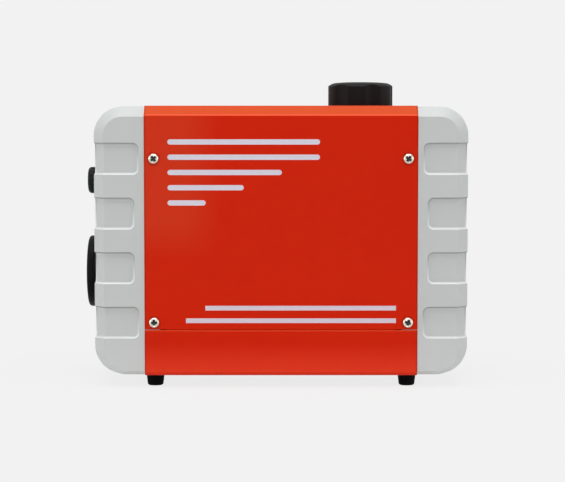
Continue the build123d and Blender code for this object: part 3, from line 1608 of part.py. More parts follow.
with BuildPart() as fuel_pump_body:
    with BuildSketch(upright(train_x, train_y)):
        with BuildLine():
            chamber = plunger_diameter / 2 + shaft_gap
            Polyline(
                (nipple_bore, pump_bottom - pump_nipple),
                (nipple / 2, pump_bottom - pump_nipple),
                (nipple / 2, pump_bottom - pump_base),
                (pump_base_radius, pump_bottom - pump_base),
                (pump_base_radius, pump_bottom),
                (pump_diameter / 2, pump_bottom),
                (pump_diameter / 2, pump_top),
                (pump_neck_radius, pump_top),
                (pump_neck_radius, pump_top + pump_neck),
                (nipple / 2, pump_top + pump_neck),
                (nipple / 2, pump_top + pump_neck + pump_top_nipple),
                (nipple_bore, pump_top + pump_neck + pump_top_nipple),
                (nipple_bore, plunger_top + spring_length),
                (chamber, plunger_top + spring_length),
                (chamber, plunger_bottom),
                (nipple_bore, plunger_bottom),
                close=True,
            )
        make_face()
    revolve(axis=upright_axis(train_x, train_y))
fuel_pump_body.part.label = "fuel_pump_body"
export_step(fuel_pump_body.part, "parts/fuel_pump_body.step")

with BuildPart() as pump_plunger:
    add(ring(level(plunger_bottom), train_x, train_y, plunger_diameter / 2, plunger_bore, plunger_length))
pump_plunger.part.label = "pump_plunger"
export_step(pump_plunger.part, "parts/pump_plunger.step")

with BuildPart() as pump_spring:
    coil = plunger_diameter / 2 - spring_wire
    with BuildLine() as helix:
        Helix(
            pitch=(spring_length - spring_wire) / spring_turns,
            height=spring_length - spring_wire,
            radius=coil,
            center=(body_x + train_x, body_y + train_y, plunger_top + spring_wire / 2),
        )
    with BuildSketch(Plane(origin=helix.line @ 0, z_dir=helix.line % 0)):
        RegularPolygon(spring_wire / 2, 6)
    sweep()
pump_spring.part.label = "pump_spring"
export_step(pump_spring.part, "parts/pump_spring.step")

with BuildPart() as pump_bracket:
    clamp_low = pump_bottom + (pump_length - clamp_height) / 2
    bracket_floor = base + cap_step + cap_wall
    clamp_back = train_y - pump_diameter / 2 - clamp_wall
    clamp_bore = pump_diameter / 2 + screw_fit
    add(ring(level(clamp_low), train_x, train_y, pump_diameter / 2 + clamp_wall, clamp_bore, clamp_height))
    with BuildSketch(level(bracket_floor)):
        with Locations((train_x, clamp_back + clamp_wall / 2)):
            Rectangle(clamp_width, clamp_wall)
    extrude(amount=clamp_low - bracket_floor)
    with BuildSketch(level(bracket_floor)):
        with Locations((train_x, clamp_back + clamp_foot / 2)):
            Rectangle(clamp_width, clamp_foot)
    extrude(amount=clamp_wall)
    with BuildSketch(level(clamp_low)):
        with Locations((train_x, clamp_back + clamp_wall)):
            Rectangle(clamp_width, 2 * clamp_wall)
        with Locations((train_x, train_y)):
            Circle(clamp_bore, mode=Mode.SUBTRACT)
    extrude(amount=clamp_height)
pump_bracket.part.label = "pump_bracket"
export_step(pump_bracket.part, "parts/pump_bracket.step")

with BuildPart() as fuel_line:
    line_start = (body_x + train_x, body_y + train_y, pump_bottom - pump_nipple)
    with BuildLine():
        FilletPolyline(
            line_start,
            (body_x + train_x, body_y + train_y, line_height),
            (body_x + train_x + line_offset, body_y + line_y, line_height),
            (body_x + burner_middle, body_y + line_y, line_height),
            (body_x + burner_middle, body_y + line_y, burner_line_z),
            (body_x + burner_middle, body_y - line_ring_y + burner_line_seat, burner_line_z),
            radius=line_bend,
        )
    with BuildSketch(Plane(origin=line_start, x_dir=(1, 0, 0), z_dir=(0, 0, -1))):
        Circle(line_diameter / 2)
        Circle(nipple_bore, mode=Mode.SUBTRACT)
    sweep()
fuel_line.part.label = "fuel_line"
export_step(fuel_line.part, "parts/fuel_line.step")

# Leads from the power socket and from the panel into the core's board
with BuildPart() as internal_leads:
    power_start = (body_x + half_length - socket_body_deep, body_y, socket_axis)
    with BuildLine():
        FilletPolyline(
            power_start,
            (body_x + power_drop_x, body_y, socket_axis),
            (body_x + power_drop_x, body_y, lead_level),
            (body_x + power_drop_x, body_y + lead_y, lead_level),
            (body_x + power_lead_x, body_y + lead_y, lead_level),
            (body_x + power_lead_x, body_y + lead_end_y, lead_level),
            (body_x + power_lead_x, body_y + lead_end_y, board_base),
            radius=lead_bend,
        )
    with BuildSketch(Plane(origin=power_start, x_dir=(0, 1, 0), z_dir=(-1, 0, 0))):
        Circle(lead_diameter / 2)
    sweep()
    panel_start = (body_x + panel_face + board_behind + board_thickness, body_y, panel_axis)
    with BuildLine():
        FilletPolyline(
            panel_start,
            (body_x + panel_drop_x, body_y, panel_axis),
            (body_x + panel_drop_x, body_y + lead_y, panel_axis),
            (body_x + panel_drop_x, body_y + lead_y, lead_level),
            (body_x + panel_lead_x, body_y + lead_y, lead_level),
            (body_x + panel_lead_x, body_y + lead_end_y, lead_level),
            (body_x + panel_lead_x, body_y + lead_end_y, board_base),
            radius=panel_lead_bend,
        )
    with BuildSketch(Plane(origin=panel_start, x_dir=(0, 1, 0), z_dir=(1, 0, 0))):
        Circle(lead_diameter / 2)
    sweep()
internal_leads.part.label = "internal_leads"
export_step(internal_leads.part, "parts/internal_leads.step")

# Outlet bezel: base ring, tube into the hood's spigot and four snap wedges
with BuildPart() as outlet_bezel:
    with BuildSketch(axial()):
        with BuildLine():
            Polyline(
                (-half_length - bezel_proud, bezel_bore),
                (-half_length - bezel_proud, outlet_diameter / 2 - bezel_edge),
                (-half_length - bezel_proud + bezel_edge, outlet_diameter / 2),
                (-half_length, outlet_diameter / 2),
                (-half_length, bezel_tube_outer / 2),
                (-half_length + bezel_tube_length, bezel_tube_outer / 2),
                (-half_length + bezel_tube_length, bezel_bore),
                (groove_left + groove_width, bezel_bore),
                (groove_left + groove_width, bezel_bore + groove_deep),
                (groove_left, bezel_bore + groove_deep),
                (groove_left, bezel_bore),
                close=True,
            )
        make_face()
    revolve(axis=lengthwise_axis())
    with BuildSketch(across(-half_length + cap_wall + fit_gap)):
        with Locations((0, core_axis)):
            with PolarLocations(bezel_tube_outer / 2 + snap_proud, 4, start_angle=45):
                Rectangle(snap_thick, snap_wide)
    extrude(amount=snap_long)
outlet_bezel.part.label = "outlet_bezel"
export_step(outlet_bezel.part, "parts/outlet_bezel.step")

# Turning louvre ring with a bead in the bezel's groove
with BuildPart() as louver_ring:
    with BuildSketch(axial()) as profile:
        with BuildLine():
            Polyline(
                (-half_length - ring_proud, disc_bore),
                (-half_length - ring_proud, outlet_diameter / 2 - ring_inset),
                (-half_length - bezel_proud - turning_gap, outlet_diameter / 2 - ring_inset),
                (-half_length - bezel_proud - turning_gap, ring_outer),
                (groove_left + turning_gap, ring_outer),
                (groove_left + turning_gap, ring_outer + bead_height),
                (groove_left + groove_width - turning_gap, ring_outer + bead_height),
                (groove_left + groove_width - turning_gap, disc_bore),
                close=True,
            )
        make_face()
        corner = profile.vertices().group_by(Axis.X)[0].sort_by(Axis.Y)[-1]
        fillet(corner, ring_round)
    revolve(axis=lengthwise_axis())
    pivot_point = (body_x + disc_centre, body_y, core_axis)
    with BuildSketch(Plane(origin=pivot_point, x_dir=(1, 0, 0), z_dir=(0, 1, 0))):
        Circle(pivot_diameter / 2 + shaft_gap)
    extrude(amount=disc_bore + pivot_length + fit_gap, both=True, mode=Mode.SUBTRACT)
louver_ring.part.label = "louver_ring"
export_step(louver_ring.part, "parts/louver_ring.step")

# Tilting louvre disc: a slice of a ball with vanes across it
with BuildPart() as louver_disc:
    back_r = math.sqrt(disc_radius**2 - disc_back**2)
    front_r = math.sqrt(disc_radius**2 - disc_front**2)
    front_x = disc_centre - disc_front
    dome_x = -half_length - outlet_proud
    with BuildSketch(axial()):
        with BuildLine():
            Polyline((dome_x, 0), (disc_centre + disc_back, 0), (disc_centre + disc_back, back_r))
            ThreePointArc((disc_centre + disc_back, back_r), (disc_centre, disc_radius), (front_x, front_r))
            ThreePointArc((front_x, front_r), ((3 * dome_x + front_x) / 4, front_r / 2), (dome_x, 0))
        make_face()
    revolve(axis=lengthwise_axis())
    with BuildSketch(across(dome_x - 1)):
        with Locations((0, core_axis)):
            Circle(front_r - disc_rim)
            with GridLocations(0, vane_pitch, 1, vane_count):
                Rectangle(2 * disc_radius, vane_thickness, mode=Mode.SUBTRACT)
            Rectangle(vane_thickness, 2 * disc_radius, mode=Mode.SUBTRACT)
    extrude(amount=2 * disc_radius, mode=Mode.SUBTRACT)
    for end in (-1, 1):
        with BuildSketch(wall_plane(disc_centre, end * (disc_radius - disc_rim), (0, end))):
            with Locations((0, core_axis)):
                Circle(pivot_diameter / 2)
        extrude(amount=disc_bore + pivot_length - disc_radius + disc_rim)
louver_disc.part.label = "louver_disc"
export_step(louver_disc.part, "parts/louver_disc.step")

# Control panel on the outlet end: frame, window, display, board
with BuildPart() as panel_frame:
    with BuildSketch(across(panel_face)):
        with Locations((0, panel_axis)):
            RectangleRounded(panel_width, panel_tall, panel_corner)
    extrude(amount=panel_plate)
    with BuildSketch(across(panel_face)):
        with Locations((0, panel_axis)):
            wide = opening_width - 2 * fit_gap
            tall = opening_tall - 2 * fit_gap
            corner = panel_corner - fit_gap
            RectangleRounded(wide, tall, corner)
            RectangleRounded(
                wide - 2 * panel_skirt, tall - 2 * panel_skirt, corner - panel_skirt, mode=Mode.SUBTRACT
            )
    extrude(amount=board_behind)
    with BuildSketch(across(panel_face - 1)):
        with Locations((window_y, panel_axis + window_z)):
            Rectangle(window_width + screw_fit, window_tall + screw_fit)
    extrude(amount=1 + window_thickness, mode=Mode.SUBTRACT)
    with BuildSketch(across(panel_face - 1)):
        with Locations((window_y, panel_axis + window_z)):
            Rectangle(window_width - 2 * window_lip, window_tall - 2 * window_lip)
        with Locations((knob_y, panel_axis)):
            Circle(knob_shaft_diameter / 2 + fit_gap)
        with Locations(*[(y, panel_axis + button_z) for y in button_y]):
            Circle(button_diameter / 2 + turning_gap)
    extrude(amount=panel_plate + 2, mode=Mode.SUBTRACT)
panel_frame.part.label = "panel_frame"
export_step(panel_frame.part, "parts/panel_frame.step")

with BuildPart() as display_window:
    with BuildSketch(across(panel_face)):
        with Locations((window_y, panel_axis + window_z)):
            Rectangle(window_width, window_tall)
    extrude(amount=window_thickness)
display_window.part.label = "display_window"
export_step(display_window.part, "parts/display_window.step")

# Board behind the panel: display, encoder for the knob and two switches on its face
with BuildPart() as panel_board:
    with BuildSketch(across(panel_face + board_behind)):
        with Locations((0, panel_axis)):
            Rectangle(opening_width - 2 * board_edge_gap, opening_tall - 2 * board_edge_gap)
    extrude(amount=board_thickness)
    with BuildSketch(across(panel_face + board_behind)):
        with Locations((window_y, panel_axis + window_z)):
            Rectangle(window_width - 2 * display_inset, window_tall - 3 * display_inset)
    extrude(amount=-(board_behind - panel_plate - fit_gap))
    with BuildSketch(across(panel_face + board_behind)):
        with Locations((knob_y, panel_axis)):
            Rectangle(encoder_side, encoder_side)
    extrude(amount=-encoder_height)
    with BuildSketch(across(panel_face + board_behind - encoder_height)):
        with Locations((knob_y, panel_axis)):
            Circle(knob_shaft_diameter / 2 + shaft_gap)
    extrude(amount=encoder_height - encoder_floor, mode=Mode.SUBTRACT)
    with BuildSketch(across(panel_face + board_behind)):
        with Locations(*[(y, panel_axis + button_z) for y in button_y]):
            Rectangle(switch_side, switch_side)
    extrude(amount=-switch_height)
panel_board.part.label = "panel_board"
export_step(panel_board.part, "parts/panel_board.step")

with BuildPart() as control_knob:
    with BuildSketch(across(-half_length - knob_gap)):
        with Locations((knob_y, panel_axis)):
            Circle(knob_diameter / 2)
    extrude(amount=-(knob_proud - knob_gap))
    fillet(control_knob.edges().sort_by(Axis.X)[0], knob_round)
    with BuildSketch(across(-half_length - knob_gap)):
        with Locations((knob_y, panel_axis)):
            with PolarLocations(knob_diameter / 2 + knob_flute / 2, knob_flutes):
                Circle(knob_flute)
    extrude(amount=-(knob_proud - knob_gap - knob_round), mode=Mode.SUBTRACT)
    with BuildSketch(across(-half_length - knob_gap)):
        with Locations((knob_y, panel_axis)):
            Circle(knob_shaft_diameter / 2 + press_fit)
    extrude(amount=-(knob_proud - knob_gap - knob_top), mode=Mode.SUBTRACT)
    with BuildSketch(across(-half_length - knob_proud)):
        with Locations((knob_y, panel_axis + knob_diameter / 4 + pointer_offset)):
            Rectangle(pointer_width, knob_diameter / 4)
    extrude(amount=pointer_depth, mode=Mode.SUBTRACT)
control_knob.part.label = "control_knob"
export_step(control_knob.part, "parts/control_knob.step")

with BuildPart() as knob_shaft:
    shaft_tip = -half_length - knob_proud + knob_top + fit_gap
    with BuildSketch(across(shaft_tip)):
        with Locations((knob_y, panel_axis)):
            Circle(knob_shaft_diameter / 2)
    extrude(amount=panel_face + board_behind - encoder_floor - fit_gap - shaft_tip)
knob_shaft.part.label = "knob_shaft"
export_step(knob_shaft.part, "parts/knob_shaft.step")


def push_button(y):
    """Round button with a collar behind the panel and a stem towards its switch."""
    with BuildPart() as button:
        with BuildSketch(across(-half_length - button_proud)):
            with Locations((y, panel_axis + button_z)):
                Circle(button_diameter / 2)
        extrude(amount=button_proud + panel_sink + panel_plate + screw_fit)
        chamfer(button.edges().sort_by(Axis.X)[0], button_edge)
        collar_face = panel_face + panel_plate + screw_fit
        with BuildSketch(across(collar_face)):
            with Locations((y, panel_axis + button_z)):
                Circle(button_diameter / 2 + button_collar)
        extrude(amount=button_collar_height)
        stem_end = panel_face + board_behind - switch_height - button_travel - screw_fit
        with BuildSketch(across(collar_face + button_collar_height)):
            with Locations((y, panel_axis + button_z)):
                Circle(button_stem / 2)
        extrude(amount=stem_end - collar_face - button_collar_height)
    return button.part


with BuildPart() as power_button:
    add(push_button(button_y[0]))
power_button.part.label = "power_button"
export_step(power_button.part, "parts/power_button.step")

with BuildPart() as mode_button:
    add(push_button(button_y[1]))
mode_button.part.label = "mode_button"
export_step(mode_button.part, "parts/mode_button.step")

# Power socket on the inlet end
with BuildPart() as power_socket:
    with BuildSketch(across(half_length)):
        with Locations((0, socket_axis)):
            RectangleRounded(socket_flange_wide, socket_flange_tall, socket_flange_corner)
    extrude(amount=socket_flange)
    with BuildSketch(across(half_length)):
        with Locations((0, socket_axis)):
            Rectangle(socket_body_wide, socket_body_tall)
    extrude(amount=-socket_body_deep)
    with BuildSketch(across(half_length + socket_flange)):
        with Locations((0, socket_axis)):
            Rectangle(socket_cavity_wide, socket_cavity_tall)
    extrude(amount=-socket_cavity_deep, mode=Mode.SUBTRACT)
    with BuildSketch(across(half_length + socket_flange - socket_cavity_deep)):
        with Locations((0, socket_axis)):
            with GridLocations(0, socket_pin_pitch, 1, 2):
                Circle(socket_pin / 2)
    extrude(amount=socket_cavity_deep - socket_pin_sink)
    with BuildSketch(across(half_length + socket_flange)):
        with Locations((0, socket_axis)):
            with GridLocations(0, socket_screw_pitch, 1, 2):
                Circle((socket_screw + screw_fit) / 2)
    extrude(amount=-socket_flange, mode=Mode.SUBTRACT)
power_socket.part.label = "power_socket"
export_step(power_socket.part, "parts/power_socket.step")

with BuildPart() as socket_screws:
    for side in (-1, 1):
        add(screw(across(half_length + socket_flange), 0, socket_axis + side * socket_screw_pitch / 2,
                  socket_screw_head_width, socket_screw_head, socket_screw, socket_flange + cap_wall))
socket_screws.part.label = "socket_screws"
export_step(socket_screws.part, "parts/socket_screws.step")
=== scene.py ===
import json
import math

import bmesh
import bpy
from mathutils import Matrix, Vector


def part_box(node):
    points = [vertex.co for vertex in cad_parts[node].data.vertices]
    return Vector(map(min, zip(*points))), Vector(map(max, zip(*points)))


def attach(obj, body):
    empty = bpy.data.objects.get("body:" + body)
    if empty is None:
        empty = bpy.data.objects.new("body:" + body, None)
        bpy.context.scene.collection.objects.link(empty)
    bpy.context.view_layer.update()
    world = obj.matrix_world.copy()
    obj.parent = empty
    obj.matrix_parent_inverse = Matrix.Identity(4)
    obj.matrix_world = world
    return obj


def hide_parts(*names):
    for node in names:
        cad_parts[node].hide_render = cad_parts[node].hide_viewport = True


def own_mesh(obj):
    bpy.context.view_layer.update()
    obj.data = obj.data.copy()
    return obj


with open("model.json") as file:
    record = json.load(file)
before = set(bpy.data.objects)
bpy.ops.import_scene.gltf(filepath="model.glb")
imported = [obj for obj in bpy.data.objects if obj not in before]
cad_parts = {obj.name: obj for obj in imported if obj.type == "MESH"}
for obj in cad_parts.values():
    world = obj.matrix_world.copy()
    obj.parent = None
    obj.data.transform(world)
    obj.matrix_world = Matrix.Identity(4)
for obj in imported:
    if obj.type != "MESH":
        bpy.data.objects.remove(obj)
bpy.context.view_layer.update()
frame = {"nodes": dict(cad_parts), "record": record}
nodes = frame["nodes"]
mm = 0.001

# sizes of the shell that the finishes follow
cover_chamfer = 10.4 * mm
recess_first = 54.1 * mm
recess_pitch = 56.2 * mm
recess_count = 4
recess_tall = 32.7 * mm
recess_wall = 2.2 * mm
recess_corner = 6.0 * mm
recess_middle_reach = 42.0 * mm
recess_outer_extra = 4.5 * mm
recess_on_end = 24.4 * mm
screw_radius = 5.4 * mm
front_skin = 0.3 * mm

# tones that stand for light the lamps don't give
glow_height = 70 * mm
glow_share = 0.8
screw_shadow_reach = 2.2 * mm
screw_shadow_share = 0.55


# shader building

def tint(red, green, blue):
    """A screen colour from 0 to 255 as the linear colour that a shader takes."""
    def linear(level):
        share = level / 255
        return share / 12.92 if share <= 0.04045 else ((share + 0.055) / 1.055) ** 2.4
    return (linear(red), linear(green), linear(blue), 1.0)


class Wire:
    """An output of a node, to be used in plain sums or joined to another node."""

    def __init__(self, sheet, socket):
        self.sheet = sheet
        self.socket = socket

    def maths(self, operation, *values):
        return self.sheet.add("ShaderNodeMath", {"operation": operation}, dict(enumerate(values)))

    def __add__(self, other):
        return self.maths("ADD", self, other)

    def __radd__(self, other):
        return self.maths("ADD", other, self)

    def __sub__(self, other):
        return self.maths("SUBTRACT", self, other)

    def __rsub__(self, other):
        return self.maths("SUBTRACT", other, self)

    def __mul__(self, other):
        return self.maths("MULTIPLY", self, other)

    def __rmul__(self, other):
        return self.maths("MULTIPLY", other, self)

    def __truediv__(self, other):
        return self.maths("DIVIDE", self, other)

    def __pow__(self, other):
        return self.maths("POWER", self, other)

    def __abs__(self):
        return self.maths("ABSOLUTE", self)

    def above(self, other):
        return self.maths("GREATER_THAN", self, other)

    def below(self, other):
        return self.maths("LESS_THAN", self, other)

    def larger(self, other):
        return self.maths("MAXIMUM", self, other)

    def smaller(self, other):
        return self.maths("MINIMUM", self, other)

    def within(self):
        """Held between 0 and 1."""
        return self.larger(0.0).smaller(1.0)


class Sheet:
    """A node tree and the one call that adds a node to it."""

    def __init__(self, tree):
        self.tree = tree

    def add(self, kind, settings=None, inputs=None, output=0):
        """Adds a node: its settings first, then the values or links of its sockets."""
        added = self.tree.nodes.new(kind)
        for setting, value in (settings or {}).items():
            if setting == "stops":
                self.set_stops(added.color_ramp, value)
            else:
                setattr(added, setting, value)
        for socket, value in (inputs or {}).items():
            self.join(added.inputs[socket], value)
        return Wire(self, added.outputs[output])

    def set_stops(self, ramp, stops):
        while len(ramp.elements) < len(stops):
            ramp.elements.new(0.5)
        for element, (place, colour) in zip(ramp.elements, stops):
            element.position = place
            element.color = colour

    def join(self, socket, value):
        if isinstance(value, Wire):
            self.tree.links.new(value.socket, socket)
        else:
            socket.default_value = value


class Finish(Sheet):
    """A material and its Principled shader."""

    def __init__(self, name, colour, roughness, **fixed):
        self.material = bpy.data.materials.new(name)
        self.material.use_nodes = True
        super().__init__(self.material.node_tree)
        self.shader = self.tree.nodes["Principled BSDF"]
        self.feed("Base Color", colour)
        self.feed("Roughness", roughness)
        for socket, value in fixed.items():
            self.feed(socket.replace("_", " "), value)

    def feed(self, socket, value):
        self.join(self.shader.inputs[socket], value)

    def place(self):
        """Object coordinates, in metres from the frame's origin."""
        return self.add("ShaderNodeTexCoord", output="Object")

    def along(self, axis):
        """One of the object coordinates."""
        return self.add("ShaderNodeSeparateXYZ", inputs={0: self.place()}, output="XYZ".index(axis))

    def stretched(self, x, y, z):
        """Object coordinates with a scale of their own on each axis."""
        return self.add("ShaderNodeMapping", inputs={"Vector": self.place(), "Scale": (x, y, z)})

    def noise(self, scale, detail, vector=None):
        inputs = {"Vector": vector or self.place(), "Scale": scale, "Detail": detail}
        return self.add("ShaderNodeTexNoise", inputs=inputs)

    def cells(self, scale, output="Distance"):
        inputs = {"Vector": self.place(), "Scale": scale}
        return self.add("ShaderNodeTexVoronoi", inputs=inputs, output=output)

    def ramp(self, amount, *stops):
        return self.add("ShaderNodeValToRGB", {"stops": stops}, {"Fac": amount})

    def mix(self, amount, first, second):
        """A colour between two, which sit on the node's seventh and eighth sockets."""
        return self.add("ShaderNodeMix", {"data_type": "RGBA"}, {0: amount, 6: first, 7: second}, 2)

    def bump(self, height, strength, depth):
        settings = {"Strength": strength, "Distance": depth, "Height": height}
        self.feed("Normal", self.add("ShaderNodeBump", inputs=settings))


def shade(colour, factor):
    """A colour made lighter or darker by a factor."""
    return tuple(part * factor for part in colour[:3]) + (1.0,)


# finishes of the outside

paint_colour = tint(207, 27, 5)
# painted light: the lit chamfer, highlights on edges and seams, the table's brightness and a soft reflection
lit_slope_colour = tint(205, 62, 18)
edge_highlight_colour = tint(238, 78, 44)
glow_colour = tint(231, 58, 36)
sheen_colour = tint(208, 47, 24)
seam_highlight_colour = tint(240, 222, 214)
stripe_colour = tint(216, 213, 226)
cap_colour = tint(197, 201, 200)
lit_grey = tint(244, 246, 246)
black_colour = tint(8, 8, 9)


def stripe_mask(across, up, stripe):
    """1 inside a plain stripe and 0 outside it, with a narrow blur on the outline between."""
    middle, height, half_length, half_width, end_radius = stripe
    blur = 0.12 * mm
    past_end = (abs(across - middle) - (half_length - end_radius)).larger(0.0)
    past_side = (abs(up - height) - (half_width - end_radius)).larger(0.0)
    distance = (past_end ** 2 + past_side ** 2) ** 0.5
    return ((end_radius - distance) / blur + 0.5).within()


def cover_stripes():
    """The panel's plain stripes as (middle, height, half length, half width, end radius)."""
    cover_low, cover_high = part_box("top_cover")
    left = cover_low.x + 24 * mm
    top = cover_high.z - 37 * mm
    stroke = 5.4 * mm
    pitch = 15.6 * mm
    lengths = [156 * mm, 156 * mm, 117 * mm, 78 * mm, 39 * mm]
    stripes = []
    for row, length in enumerate(lengths):
        stripes.append((left + length / 2, top - row * pitch, length / 2, stroke / 2, stroke / 2))
    low = cover_low.z + 9 * mm
    right = cover_high.x - 22 * mm
    low_pitch = 13 * mm
    low_half_width = 2.4 * mm
    nearly_square = 0.05 * mm
    for row, length in enumerate([216 * mm, 196 * mm]):
        height = low + row * low_pitch
        stripes.append((right - length / 2, height, length / 2, low_half_width, nearly_square))
    return stripes


def striped(across, up):
    """1 inside any of the panel's stripes."""
    first, *others = [stripe_mask(across, up, stripe) for stripe in cover_stripes()]
    mask = first
    for other in others:
        mask = mask.larger(other)
    return mask


def near_line(amount, line, reach):
    """1 on a line, falling to 0 at its reach on both sides."""
    return (1.0 - abs(amount - line) / reach).within()


def seam_line(across, reach):
    """1 at the two seams between the cover and its end caps, falling to 0 at its reach."""
    low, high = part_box("top_cover")
    return near_line(abs(across - (low.x + high.x) / 2), (high.x - low.x) / 2, reach)


def low_glow(finish):
    """How much of the table's brightness reaches the grey caps: most at the feet, none at glow_height."""
    return (1.0 - finish.along("Z") / glow_height).within() * glow_share


def screw_shadow(across, up):
    """How much painted shadow darkens the paint round the heads of the four screws of a side."""
    low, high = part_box("cover_screws")
    beside = abs(abs(across - (low.x + high.x) / 2) - ((high.x - low.x) / 2 - screw_radius))
    over = abs(abs(up - (low.z + high.z) / 2) - ((high.z - low.z) / 2 - screw_radius))
    distance = (beside ** 2 + over ** 2) ** 0.5
    return (1.0 - (distance - screw_radius) / screw_shadow_reach).within() * screw_shadow_share


def table_light(up):
    """The table's brightness on the tray: it grows downwards and fades out at the lower edge."""
    upper_end = 46 * mm
    upper_fade = 34 * mm
    lower_end = 12 * mm
    lower_fade = 4 * mm
    return ((upper_end - up) / upper_fade).within() * ((up - lower_end) / lower_fade).within()


def upper_left_sheen(across, up):
    """The broad soft reflection on the panel's upper left."""
    right_end = -58 * mm
    right_fade = 36 * mm
    lower_end = 132 * mm
    lower_fade = 38 * mm
    return ((right_end - across) / right_fade).within() * ((up - lower_end) / lower_fade).within()


def lit_top_slope(up, top, bend):
    """Painted light: 1 on the chamfer between the front and the top, and part of it on the flat top, where
    the light from above makes the paint a lighter orange.
    """
    start = top - 0.9 * mm
    top_blend = 0.6 * mm
    bend_blend = 1.0 * mm
    on_top = ((up - start) / top_blend).within()
    return ((up - bend) / bend_blend).within() * (1.0 - 0.6 * on_top)


def edge_highlights(up, bend, foot):
    """1 along the bend below the chamfer and along the tray's upper edge, where light catches: a painted
    highlight.
    """
    return near_line(up, bend + 0.9 * mm, 1.3 * mm).larger(near_line(up, foot - 1.4 * mm, 0.9 * mm))


def powder_coat():
    finish = Finish("red_powder_coat", paint_colour, 0.36, Specular_IOR_Level=0.14,
                    Specular_Tint=(1.0, 0.85, 0.35, 1.0))
    cloud = finish.noise(9.0, 3.0)
    across, up, depth = finish.along("X"), finish.along("Z"), finish.along("Y")
    cover_low, cover_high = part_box("top_cover")
    top_bend = cover_high.z - cover_chamfer
    on_front = depth.below(cover_low.y + front_skin)
    colour = finish.mix(cloud, shade(paint_colour, 0.97), shade(paint_colour, 1.03))
    lit_slope = lit_top_slope(up, cover_high.z, top_bend)
    # painted light: the chamfer and the top a lighter orange where the light from above falls
    colour = finish.mix(lit_slope, colour, lit_slope_colour)
    # painted highlight along the bend and the tray's upper edge, a little uneven
    highlit_edge = edge_highlights(up, top_bend, cover_low.z)
    colour = finish.mix(highlit_edge * (0.75 + 0.25 * finish.noise(38.0, 3.0)), colour, edge_highlight_colour)
    colour = finish.mix(table_light(up) * (1.0 - highlit_edge), colour, glow_colour)
    sheen = upper_left_sheen(across, up) * on_front * (1.0 - lit_slope) * (1.0 - highlit_edge)
    colour = finish.mix(sheen, colour, sheen_colour)
    # painted shade on the cover along its seams with the end caps and round the screw heads
    seam_and_screw_shade = (seam_line(across, 1.8 * mm) * 0.65).larger(screw_shadow(across, up))
    colour = finish.mix(seam_and_screw_shade, colour, shade(paint_colour, 0.4))
    mask = striped(across, up) * on_front
    finish.feed("Base Color", finish.mix(mask, colour, stripe_colour))
    finish.feed("Roughness", 0.34 + 0.08 * finish.noise(60.0, 4.0))
    peel = finish.noise(620.0, 2.0)
    finish.bump(peel + mask * 0.5, 0.25, 0.05 * mm)
    return finish.material


def recess_walls(finish):
    """Where a grip recess's walls rise: how much each faces down, and how much it faces up."""
    low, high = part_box("outlet_end_cap")[0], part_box("inlet_end_cap")[1]
    across = abs(finish.along("X") - (low.x + high.x) / 2)
    deep = abs(finish.along("Y") - (low.y + high.y) / 2)
    height = finish.along("Z") - (low.z + recess_first)
    rows_up = height / recess_pitch
    row = rows_up.maths("ROUND", rows_up).larger(0.0).smaller(recess_count - 1.0)
    local = height - row * recess_pitch
    short_row = abs(row - (recess_count - 1) / 2).above(1.0)
    inner = (high.x - low.x) / 2 - recess_middle_reach - recess_outer_extra * short_row
    past_end = (inner + recess_corner - across).larger(0.0)
    past_side = ((high.y - low.y) / 2 - recess_on_end + recess_corner - deep).larger(0.0)
    past_top = (abs(local) - (recess_tall / 2 - recess_corner)).larger(0.0)
    distance = (past_end ** 2 + past_side ** 2 + past_top ** 2) ** 0.5 - recess_corner
    edge = (1.0 + distance / recess_wall).within() * distance.below(0.0)
    faces_down = edge * (local / (recess_tall / 2)).within()
    faces_up = edge * (local / (recess_tall / -2)).within()
    return faces_down, faces_up


def textured_grey():
    finish = Finish("textured_grey_moulding", cap_colour, 0.55, Specular_IOR_Level=0.4)
    cloud = finish.noise(14.0, 3.0)
    shaded, lit = recess_walls(finish)
    colour = finish.mix(cloud, shade(cap_colour, 0.975), shade(cap_colour, 1.02))
    colour = finish.mix(shaded * 0.9, colour, shade(cap_colour, 0.25))
    colour = finish.mix(lit, colour, lit_grey)
    # painted highlight along the caps' inner edges beside the cover
    inner_edge_highlight = seam_line(finish.along("X"), 2.0 * mm)
    colour = finish.mix(inner_edge_highlight * 0.8, colour, seam_highlight_colour)
    finish.feed("Base Color", finish.mix(low_glow(finish), colour, shade(cap_colour, 1.13)))
    finish.feed("Roughness", 0.5 + 0.12 * finish.noise(900.0, 1.0))
    grain = finish.cells(1400.0) * 0.6 + finish.noise(2400.0, 2.0) * 0.4
    finish.bump(grain, 0.35, 0.07 * mm)
    return finish.material


def black_plastic(name, colour, roughness, grain_depth):
    finish = Finish(name, colour, roughness, Specular_IOR_Level=0.09)
    cloud = finish.noise(25.0, 3.0)
    finish.feed("Base Color", finish.mix(cloud, shade(colour, 0.9), shade(colour, 1.15)))
    finish.feed("Roughness", roughness - 0.05 + 0.1 * finish.noise(400.0, 2.0))
    finish.bump(finish.noise(1800.0, 2.0), 0.4, grain_depth)
    return finish.material


def rubber():
    colour = tint(9, 9, 10)
    finish = Finish("matt_rubber", colour, 0.72, Specular_IOR_Level=0.05)
    dust = finish.ramp(finish.noise(70.0, 5.0), (0.45, (0, 0, 0, 1)), (0.8, (1, 1, 1, 1)))
    finish.feed("Base Color", finish.mix(0.05 * dust, colour, tint(96, 94, 90)))
    finish.feed("Roughness", 0.66 + 0.16 * finish.noise(300.0, 3.0))
    finish.bump(finish.noise(2600.0, 3.0), 0.35, 0.06 * mm)
    return finish.material


